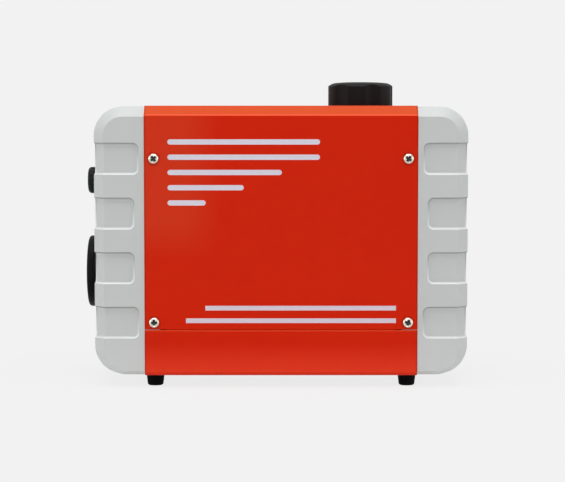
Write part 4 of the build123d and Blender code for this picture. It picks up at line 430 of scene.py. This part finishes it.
def zinc_plate():
    colour = (0.76, 0.7, 0.62, 1.0)
    finish = Finish("bright_zinc_plate", colour, 0.26, Metallic=1.0)
    stain = finish.noise(420.0, 4.0)
    warm_plate = (0.86, 0.8, 0.7, 1.0)
    recess_shade_and_grime_colour = (0.03, 0.037, 0.035, 1.0)
    plate = finish.mix(stain, shade(colour, 0.82), warm_plate)
    # painted shade, with some grime, darkens the cross recess towards its floor
    recess_shade_and_grime = finish.add("ShaderNodeAttribute", {"attribute_name": "recess"}, output="Fac")
    finish.feed("Base Color", finish.mix(recess_shade_and_grime.within(), plate, recess_shade_and_grime_colour))
    finish.feed("Roughness", 0.2 + 0.18 * finish.noise(900.0, 3.0))
    finish.bump(finish.noise(3200.0, 2.0), 0.2, 0.02 * mm)
    return finish.material


# finishes of the inside

def galvanised():
    colour = (0.6, 0.61, 0.62, 1.0)
    finish = Finish("galvanised_spangle", colour, 0.4, Metallic=1.0)
    spangle = finish.cells(160.0, output="Color")
    tone = finish.add("ShaderNodeRGBToBW", inputs={0: spangle})
    finish.feed("Base Color", finish.mix(tone, shade(colour, 0.82), shade(colour, 1.15)))
    finish.feed("Roughness", 0.3 + 0.2 * tone)
    finish.bump(tone, 0.1, 0.03 * mm)
    return finish.material


def raw_metal(name, colour, roughness, grain, depth):
    finish = Finish(name, colour, roughness, Metallic=1.0)
    blotch = finish.noise(40.0, 4.0)
    finish.feed("Base Color", finish.mix(blotch, shade(colour, 0.86), shade(colour, 1.1)))
    finish.feed("Roughness", roughness - 0.08 + 0.16 * finish.noise(grain * 0.5, 2.0))
    finish.bump(finish.noise(grain, 4.0), 0.4, depth)
    return finish.material


def brushed_metal(name, colour, roughness, direction):
    """Steel with fine scratches drawn along one axis."""
    finish = Finish(name, colour, roughness, Metallic=1.0)
    scale = [1500.0 if axis != direction else 40.0 for axis in "XYZ"]
    scratch = finish.noise(1.0, 3.0, finish.stretched(*scale))
    finish.feed("Base Color", finish.mix(scratch, shade(colour, 0.9), shade(colour, 1.08)))
    finish.feed("Roughness", roughness - 0.06 + 0.14 * scratch)
    finish.bump(scratch, 0.15, 0.02 * mm)
    return finish.material


def heat_tinted():
    """Stainless steel that has run hot: straw, then bronze and blue near the burner."""
    colour = (0.46, 0.43, 0.4, 1.0)
    finish = Finish("heat_tinted_stainless", colour, 0.34, Metallic=1.0)
    low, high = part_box("burner_tube")
    share = ((finish.along("X") - low.x) / (high.x - low.x) + 0.25 * finish.noise(55.0, 3.0)).within()
    tempered = finish.ramp(share, (0.0, (0.48, 0.45, 0.42, 1)), (0.35, (0.5, 0.38, 0.22, 1)),
                           (0.62, (0.33, 0.2, 0.24, 1)), (0.95, (0.2, 0.25, 0.42, 1)))
    finish.feed("Base Color", tempered)
    finish.feed("Roughness", 0.28 + 0.16 * finish.noise(260.0, 3.0))
    finish.bump(finish.noise(900.0, 3.0), 0.2, 0.03 * mm)
    return finish.material


def pressed_fibre():
    colour = tint(96, 96, 98)
    finish = Finish("pressed_fibre", colour, 0.85)
    fibres = finish.noise(1.0, 4.0, finish.stretched(500.0, 1400.0, 1400.0))
    finish.feed("Base Color", finish.mix(fibres, shade(colour, 0.7), shade(colour, 1.25)))
    finish.bump(fibres, 0.6, 0.1 * mm)
    return finish.material


def wound_copper():
    colour = (0.62, 0.3, 0.14, 1.0)
    finish = Finish("wound_copper", colour, 0.3, Metallic=1.0)
    turns = finish.add("ShaderNodeTexWave", {"bands_direction": "X"},
                       {"Vector": finish.place(), "Scale": 260.0, "Distortion": 0.6})
    finish.feed("Base Color", finish.mix(turns, shade(colour, 0.45), shade(colour, 1.25)))
    finish.feed("Roughness", 0.24 + 0.2 * finish.noise(500.0, 2.0))
    finish.bump(turns, 0.7, 0.3 * mm)
    return finish.material


def circuit_board():
    colour = tint(22, 84, 50)
    finish = Finish("green_circuit_board", colour, 0.35, Coat_Weight=0.4)
    tracks = finish.add("ShaderNodeTexBrick", {"offset": 0.35},
                        {"Vector": finish.place(), "Scale": 260.0, "Mortar Size": 0.03,
                         "Mortar": (1, 1, 1, 1), "Color1": (0, 0, 0, 1), "Color2": (0, 0, 0, 1)})
    finish.feed("Base Color", finish.mix(tracks, colour, tint(70, 142, 92)))
    finish.feed("Roughness", 0.3 + 0.15 * finish.noise(300.0, 2.0))
    finish.bump(tracks, 0.3, 0.05 * mm)
    return finish.material


def ceramic():
    colour = tint(226, 220, 208)
    finish = Finish("glazed_ceramic", colour, 0.25)
    finish.feed("Base Color", finish.mix(finish.noise(200.0, 3.0), shade(colour, 0.9), colour))
    finish.feed("Roughness", 0.2 + 0.12 * finish.noise(150.0, 2.0))
    return finish.material


def tinted_window():
    colour = tint(24, 27, 31)
    finish = Finish("tinted_window", colour, 0.08, Coat_Weight=0.6)
    finish.feed("Base Color", finish.mix(finish.noise(30.0, 2.0), shade(colour, 0.85), shade(colour, 1.15)))
    finish.feed("Roughness", 0.06 + 0.05 * finish.noise(90.0, 4.0))
    return finish.material


def clear_filter():
    colour = tint(232, 226, 206)
    finish = Finish("clear_filter_bowl", colour, 0.25, Transmission_Weight=0.55)
    finish.feed("Base Color", finish.mix(finish.noise(90.0, 3.0), shade(colour, 0.85), colour))
    finish.feed("Roughness", 0.2 + 0.15 * finish.noise(200.0, 2.0))
    return finish.material


finishes = {
    "cover_paint": powder_coat(),
    "cap_grey": textured_grey(),
    "black_moulding": black_plastic("matt_black_moulding", black_colour, 0.5, 0.05 * mm),
    "knob_black": black_plastic("satin_black_knob", tint(31, 31, 32), 0.34, 0.02 * mm),
    "button_grey": black_plastic("dark_grey_button", tint(82, 83, 85), 0.5, 0.03 * mm),
    "foot_rubber": rubber(),
    "zinc_steel": zinc_plate(),
    "black_zinc": black_plastic("black_zinc_plate", tint(24, 24, 26), 0.34, 0.02 * mm),
    "galvanised_sheet": galvanised(),
    "cast_aluminium": raw_metal("raw_die_casting", (0.62, 0.62, 0.61, 1.0), 0.46, 700.0, 0.12 * mm),
    "burner_steel": heat_tinted(),
    "pipe_steel": brushed_metal("plain_steel_tube", (0.6, 0.6, 0.59, 1.0), 0.34, "X"),
    "gasket_grey": pressed_fibre(),
    "case_black": black_plastic("core_case_black", tint(36, 36, 38), 0.48, 0.06 * mm),
    "impeller_aluminium": raw_metal("impeller_casting", (0.66, 0.66, 0.66, 1.0), 0.36, 900.0, 0.05 * mm),
    "ferrite": black_plastic("dark_ferrite", tint(44, 44, 47), 0.55, 0.08 * mm),
    "copper_windings": wound_copper(),
    "fitting_brass": raw_metal("turned_brass", (0.78, 0.56, 0.25, 1.0), 0.28, 1200.0, 0.02 * mm),
    "tank_plastic": black_plastic("blow_moulded_tank", tint(44, 44, 46), 0.46, 0.09 * mm),
    "filter_plastic": clear_filter(),
    "pump_steel": brushed_metal("pump_steel", (0.52, 0.53, 0.55, 1.0), 0.3, "Z"),
    "spring_steel": brushed_metal("spring_steel", (0.58, 0.58, 0.58, 1.0), 0.28, "Z"),
    "board_green": circuit_board(),
    "sensor_ceramic": ceramic(),
    "display_glass": tinted_window(),
}

fuel_cap_black = black_plastic("moulded_fuel_cap", tint(20, 19, 19), 0.5, 0.05 * mm)

for piece in frame["record"]["subparts"]:
    for material_slot in nodes[piece["node"]].material_slots:
        material_slot.material = finishes[piece["material_slot"]]


# pieces that stand for nodes of the frame

class Pattern(Sheet):
    """A geometry tree with named inputs, grown into a plain mesh."""

    kinds = {float: "NodeSocketFloat", bpy.types.Object: "NodeSocketObject"}

    def __init__(self, name, **sizes):
        super().__init__(bpy.data.node_groups.new(name, "GeometryNodeTree"))
        self.name = name
        self.sizes = sizes
        interface = self.tree.interface
        interface.new_socket("Geometry", in_out="OUTPUT", socket_type="NodeSocketGeometry")
        for label, value in sizes.items():
            interface.new_socket(label, in_out="INPUT", socket_type=self.kinds[type(value)])
        self.entry = self.tree.nodes.new("NodeGroupInput")

    def size(self, label):
        return Wire(self, self.entry.outputs[label])

    def point(self, x=0.0, y=0.0, z=0.0):
        return self.add("ShaderNodeCombineXYZ", inputs={0: x, 1: y, 2: z})

    def together(self, *parts):
        joined = self.tree.nodes.new("GeometryNodeJoinGeometry")
        for part in parts:
            self.tree.links.new(part.socket, joined.inputs[0])
        return Wire(self, joined.outputs[0])

    def grow(self, result, material):
        """Ends the tree, evaluates it once and returns the plain mesh as a new object."""
        real = self.add("GeometryNodeRealizeInstances", inputs={0: result})
        dressed = self.add("GeometryNodeSetMaterial", inputs={0: real, "Material": material})
        exit_node = self.tree.nodes.new("NodeGroupOutput")
        self.tree.links.new(dressed.socket, exit_node.inputs[0])
        host = new_object(self.name + "_host", bpy.data.meshes.new(self.name + "_host"))
        modifier = host.modifiers.new("grow", "NODES")
        modifier.node_group = self.tree
        for item in self.tree.interface.items_tree:
            if item.in_out == "INPUT":
                modifier[item.identifier] = self.sizes[item.name]
        mesh = plain_copy(host)
        host.modifiers.clear()
        bpy.data.objects.remove(host)
        return new_object(self.name, mesh)


def new_object(name, data):
    made = bpy.data.objects.new(name, data)
    bpy.context.scene.collection.objects.link(made)
    return made


def plain_copy(source):
    """The mesh of an object with its modifiers worked in."""
    bpy.context.view_layer.update()
    seen = source.evaluated_get(bpy.context.evaluated_depsgraph_get())
    return bpy.data.meshes.new_from_object(seen)


def smooth_by_angle(mesh, limit=35.0):
    """Smooth shading, with the edges sharper than the limit kept crisp."""
    for face in mesh.polygons:
        face.use_smooth = True
    mesh.set_sharp_from_angle(angle=math.radians(limit))


def joined_copy(node):
    """A copy of a node's mesh, and the same as a bmesh whose faces share their corners."""
    same_place = 0.002 * mm
    mesh = nodes[node].data.copy()
    if "custom_normal" in mesh.attributes:
        mesh.attributes.remove(mesh.attributes["custom_normal"])
    shell = bmesh.new()
    shell.from_mesh(mesh)
    bmesh.ops.remove_doubles(shell, verts=shell.verts, dist=same_place)
    return mesh, shell


def return_spring():
    """The pump's spring, as a smooth-shaded copy that stands for the node."""
    mesh, shell = joined_copy("pump_spring")
    shell.to_mesh(mesh)
    shell.free()
    smooth_by_angle(mesh)
    spring = new_object("pump_return_spring", mesh)
    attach(spring, "chassis")
    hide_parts("pump_spring")
    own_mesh(spring)


def softened(node, slot, width, body="chassis", foot=None):
    """A copy of a node with its sharp outer edges rounded a little, which stands for the node.

    With a foot, the lowest face goes down to that height and keeps its edges crisp.
    """
    flat = math.radians(1.0)
    crisp = math.radians(25)
    foot_depth = 0.02 * mm
    mesh, shell = joined_copy(node)
    bmesh.ops.dissolve_limit(shell, angle_limit=flat, verts=shell.verts, edges=shell.edges)
    standing = set()
    if foot is not None:
        lowest = min(vertex.co.z for vertex in shell.verts)
        standing = {vertex for vertex in shell.verts if vertex.co.z < lowest + foot_depth}
    weight = shell.edges.layers.float.new("bevel_weight_edge")
    for edge in shell.edges:
        sharp = len(edge.link_faces) == 2 and edge.calc_face_angle() > crisp
        edge[weight] = 1.0 if sharp and not standing.issuperset(edge.verts) else 0.0
    for vertex in standing:
        vertex.co.z = foot
    shell.to_mesh(mesh)
    shell.free()
    made = new_object(node + "_edges", mesh)
    bevel = made.modifiers.new("soften", "BEVEL")
    bevel.width = width
    bevel.segments = 3
    bevel.limit_method = "WEIGHT"
    even = made.modifiers.new("even", "WEIGHTED_NORMAL")
    even.keep_sharp = True
    finished = plain_copy(made)
    bpy.data.objects.remove(made)
    soft = new_object(node + "_soft", finished)
    finished.materials.clear()
    finished.materials.append(finishes[slot])
    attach(soft, body)
    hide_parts(node)
    return soft


def spun(profile, steps):
    """Closed shell of a profile of (radius, height) turned round the upright axis, as a bmesh."""
    shell = bmesh.new()
    turns = [2 * math.pi * step / steps for step in range(steps)]
    rings = []
    for radius, height in profile:
        if radius == 0:
            rings.append([shell.verts.new((0, 0, height))])
            continue
        rings.append([shell.verts.new((radius * math.cos(turn), radius * math.sin(turn), height))
                      for turn in turns])
    for lower, upper in zip(rings, rings[1:]):
        bridge(shell, lower, upper)
    bmesh.ops.recalc_face_normals(shell, faces=shell.faces)
    return shell


def bridge(shell, lower, upper):
    """Faces between two closed rings, either of which may be one point."""
    count = max(len(lower), len(upper))
    for step in range(count):
        ahead = (step + 1) % count
        corners = [lower[step % len(lower)], lower[ahead % len(lower)],
                   upper[ahead % len(upper)], upper[step % len(upper)]]
        shell.faces.new(list(dict.fromkeys(corners)))


def cross_outline(reach, width):
    """Corners of a plain cross, going round."""
    half = width / 2
    corner = [(reach, -half), (reach, half), (half, half)]
    outline = []
    for quarter in range(4):
        turn = Matrix.Rotation(quarter * math.pi / 2, 2)
        outline += [turn @ Vector(point) for point in corner]
    return outline


def cross_cutter(mouth_reach):
    """The tapered cross that the drive recess takes out of a screw head, in millimetres."""
    floor_height = 0.75
    mouth_height = 2.62
    cutter = bmesh.new()
    floor = [cutter.verts.new((x, y, floor_height)) for x, y in cross_outline(2.6, 1.9)]
    mouth = [cutter.verts.new((x, y, mouth_height)) for x, y in cross_outline(mouth_reach, 3.0)]
    bridge(cutter, floor, mouth)
    cutter.faces.new(list(reversed(floor)))
    cutter.faces.new(mouth)
    bmesh.ops.recalc_face_normals(cutter, faces=cutter.faces)
    mesh = bpy.data.meshes.new("screw_recess")
    cutter.to_mesh(mesh)
    cutter.free()
    return new_object("screw_recess", mesh)


def darken_recess(mesh, crown_height, mouth_reach):
    """Writes the attribute that says how deep under the crown each point of the recess lies, which sets how
    much painted shade and grime darken it.
    """
    crown_fall = 0.034
    lowest = 0.5
    darkening = 2.2
    dark = mesh.attributes.new("recess", "FLOAT", "POINT")
    for vertex in mesh.vertices:
        x, y, z = vertex.co
        surface = crown_height - crown_fall * (x * x + y * y)
        inside = math.hypot(x, y) < mouth_reach and z > lowest
        share = min(1.0, max(0.0, (surface - z) * darkening))
        dark.data[vertex.index].value = share if inside else 0.0


def screw_head():
    """A pan head with a cross recess, on its shank: drawn in millimetres on Z = 0, then scaled."""
    crown_height = 2.6
    mouth_reach = 3.9
    crown = [(0, crown_height), (1.4, 2.58), (2.8, 2.42), (3.9, 2.08), (4.7, 1.55), (5.2, 0.9),
             (5.4, 0.3), (5.34, 0.06), (5.2, 0.0)]
    shank = [(2.0, 0.0), (2.0, -7.4), (1.5, -8.0), (0, -8.0)]
    shell = spun(crown + shank, 48)
    mesh = bpy.data.meshes.new("screw_head")
    shell.to_mesh(mesh)
    shell.free()
    head = new_object("screw_head", mesh)
    tool = cross_cutter(mouth_reach)
    cut = head.modifiers.new("recess", "BOOLEAN")
    cut.operation = "DIFFERENCE"
    cut.solver = "EXACT"
    cut.object = tool
    soften = head.modifiers.new("soften", "BEVEL")
    soften.width = 0.12
    soften.segments = 2
    soften.limit_method = "ANGLE"
    soften.angle_limit = math.radians(40)
    finished = plain_copy(head)
    for spare in (head, tool):
        bpy.data.objects.remove(spare)
    darken_recess(finished, crown_height, mouth_reach)
    smooth_by_angle(finished, 30)
    finished.transform(Matrix.Scale(mm, 4))
    return new_object("screw_head", finished)


def cover_screws():
    """Eight screws, four on the front and four on the back, at the corners of the cover."""
    low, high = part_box("cover_screws")
    cover_low, cover_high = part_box("top_cover")
    head = screw_head()
    pattern = Pattern("cover_screw_heads", Across=high.x - low.x - 2 * screw_radius,
                      Up=high.z - low.z - 2 * screw_radius, Deep=cover_high.y - cover_low.y, Screw=head)
    grid = pattern.add("GeometryNodeMeshGrid", inputs={
        "Size X": pattern.size("Across"), "Size Y": pattern.size("Up"), "Vertices X": 2, "Vertices Y": 2})
    screw = pattern.add("GeometryNodeObjectInfo", inputs={"Object": pattern.size("Screw")}, output="Geometry")
    sides = []
    for seed, turn in enumerate((0.0, math.pi)):
        driven = pattern.add("FunctionNodeRandomValue", {"data_type": "FLOAT_VECTOR"},
                             {"Min": (0.0, 0.0, 0.0), "Max": (0.0, 0.0, math.pi / 2), "Seed": seed})
        wall = pattern.add("GeometryNodeInstanceOnPoints", inputs={
            "Points": grid, "Instance": screw, "Rotation": driven})
        lifted = pattern.add("GeometryNodeTransform", inputs={
            "Geometry": wall, "Translation": pattern.point(z=pattern.size("Deep") / 2)})
        stood = pattern.add("GeometryNodeTransform", inputs={
            "Geometry": lifted, "Rotation": (math.pi / 2, 0.0, turn)})
        sides.append(stood)
    placed = pattern.add("GeometryNodeTransform", inputs={
        "Geometry": pattern.together(*sides),
        "Translation": ((low.x + high.x) / 2, (cover_low.y + cover_high.y) / 2, (low.z + high.z) / 2)})
    screws = pattern.grow(placed, finishes["zinc_steel"])
    bpy.data.objects.remove(head)
    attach(screws, "chassis")
    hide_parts("cover_screws")


cover_screws()
return_spring()
for node in ("outlet_end_cap", "inlet_end_cap"):
    softened(node, "cap_grey", 1.0 * mm)
fuel_cap_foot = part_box("top_cover")[1].z + 0.05 * mm
soft_cap = softened("fuel_cap", "black_moulding", 0.8 * mm, "fuel_cap", foot=fuel_cap_foot)
soft_cap.data.materials[0] = fuel_cap_black


# camera, floor and light

focal_pixels = 1900.0
picture_width = 565.0
sensor_width = 36.0
camera_place = (0.0058, -2.0276, 0.2892)
degrees_down = 4.06
backdrop_level = tint(242, 242, 242)
body_middle = (0.0, 0.0, 0.15)
table_middle = (0.0, 0.0, 0.02)


def photo_camera():
    """The camera, which looks along Y and a little down."""
    camera = bpy.data.cameras.new("photo_camera")
    camera.lens = focal_pixels / picture_width * sensor_width
    camera.sensor_width = sensor_width
    camera.clip_end = 50.0
    holder = new_object("photo_camera", camera)
    holder.location = camera_place
    holder.rotation_euler = (math.radians(90 - degrees_down), 0.0, 0.0)
    bpy.context.scene.camera = holder


def pale_to_viewer(sheet):
    """1 for rays that come from the camera, a mirror or glass."""
    camera, mirror, glass = [sheet.add("ShaderNodeLightPath", output=name)
                             for name in ("Is Camera Ray", "Is Glossy Ray", "Is Transmission Ray")]
    return camera.larger(mirror).larger(glass)


def studio_floor():
    """A pale floor: a little shadow shows near the object, none where it melts into the backdrop."""
    reach = 8.0
    oval = 0.8
    shadow_reach = 0.14
    melting_width = 0.22
    near_share = 0.91
    further_share = 0.09
    mesh = bpy.data.meshes.new("studio_floor")
    corners = [(-reach, -reach, 0), (reach, -reach, 0), (reach, reach, 0), (-reach, reach, 0)]
    mesh.from_pydata(corners, [], [(0, 1, 2, 3)])
    floor = new_object("studio_floor", mesh)
    finish = Finish("studio_floor", tint(238, 238, 238), 0.9, Specular_IOR_Level=0.0)
    across, deep = finish.along("X"), finish.along("Y")
    distance = ((across * oval) ** 2 + deep ** 2) ** 0.5
    share = near_share + further_share * ((distance - shadow_reach) / melting_width).within()
    glow = finish.add("ShaderNodeEmission", inputs={"Color": backdrop_level, "Strength": 1.0})
    blend = finish.add("ShaderNodeMixShader", inputs={
        0: share * pale_to_viewer(finish), 1: Wire(finish, finish.shader.outputs[0]), 2: glow})
    finish.join(finish.tree.nodes["Material Output"].inputs["Surface"], blend)
    mesh.materials.append(finish.material)


def soft_world(strength):
    """Even light from all round, seen as the backdrop by the camera, a mirror or glass."""
    world = bpy.data.worlds.new("studio_world")
    bpy.context.scene.world = world
    world.use_nodes = True
    world.node_tree.nodes.clear()
    sky = Sheet(world.node_tree)
    light = sky.add("ShaderNodeBackground", inputs={"Color": (1, 1, 1, 1), "Strength": strength})
    pale = sky.add("ShaderNodeBackground", inputs={"Color": backdrop_level, "Strength": 1.0})
    blend = sky.add("ShaderNodeMixShader", inputs={0: pale_to_viewer(sky), 1: light, 2: pale})
    sky.join(sky.tree.nodes.new("ShaderNodeOutputWorld").inputs["Surface"], blend)


def soft_box(name, place, aim, width, height, power):
    """A lamp like a studio soft box, its face turned to its aim."""
    lamp = bpy.data.lights.new(name, "AREA")
    lamp.shape = "RECTANGLE"
    lamp.size = width
    lamp.size_y = height
    lamp.energy = power
    holder = new_object(name, lamp)
    holder.location = place
    holder.rotation_euler = (Vector(aim) - Vector(place)).to_track_quat("-Z", "Y").to_euler()


photo_camera()
studio_floor()
soft_world(0.3)
soft_box("overhead_box", (0.0, -0.3, 1.7), body_middle, 1.6, 1.2, 23.0)
soft_box("front_box", (-0.2, -2.3, 0.9), body_middle, 1.4, 0.9, 4.0)
soft_box("left_box", (-2.1, -0.5, 0.6), body_middle, 1.0, 1.2, 9.5)
soft_box("right_box", (2.1, -0.6, 0.6), body_middle, 1.0, 1.2, 7.5)
soft_box("table_glow", (0.0, -1.2, 0.1), table_middle, 1.2, 0.15, 0.7)
bpy.context.scene.view_settings.view_transform = "Standard"
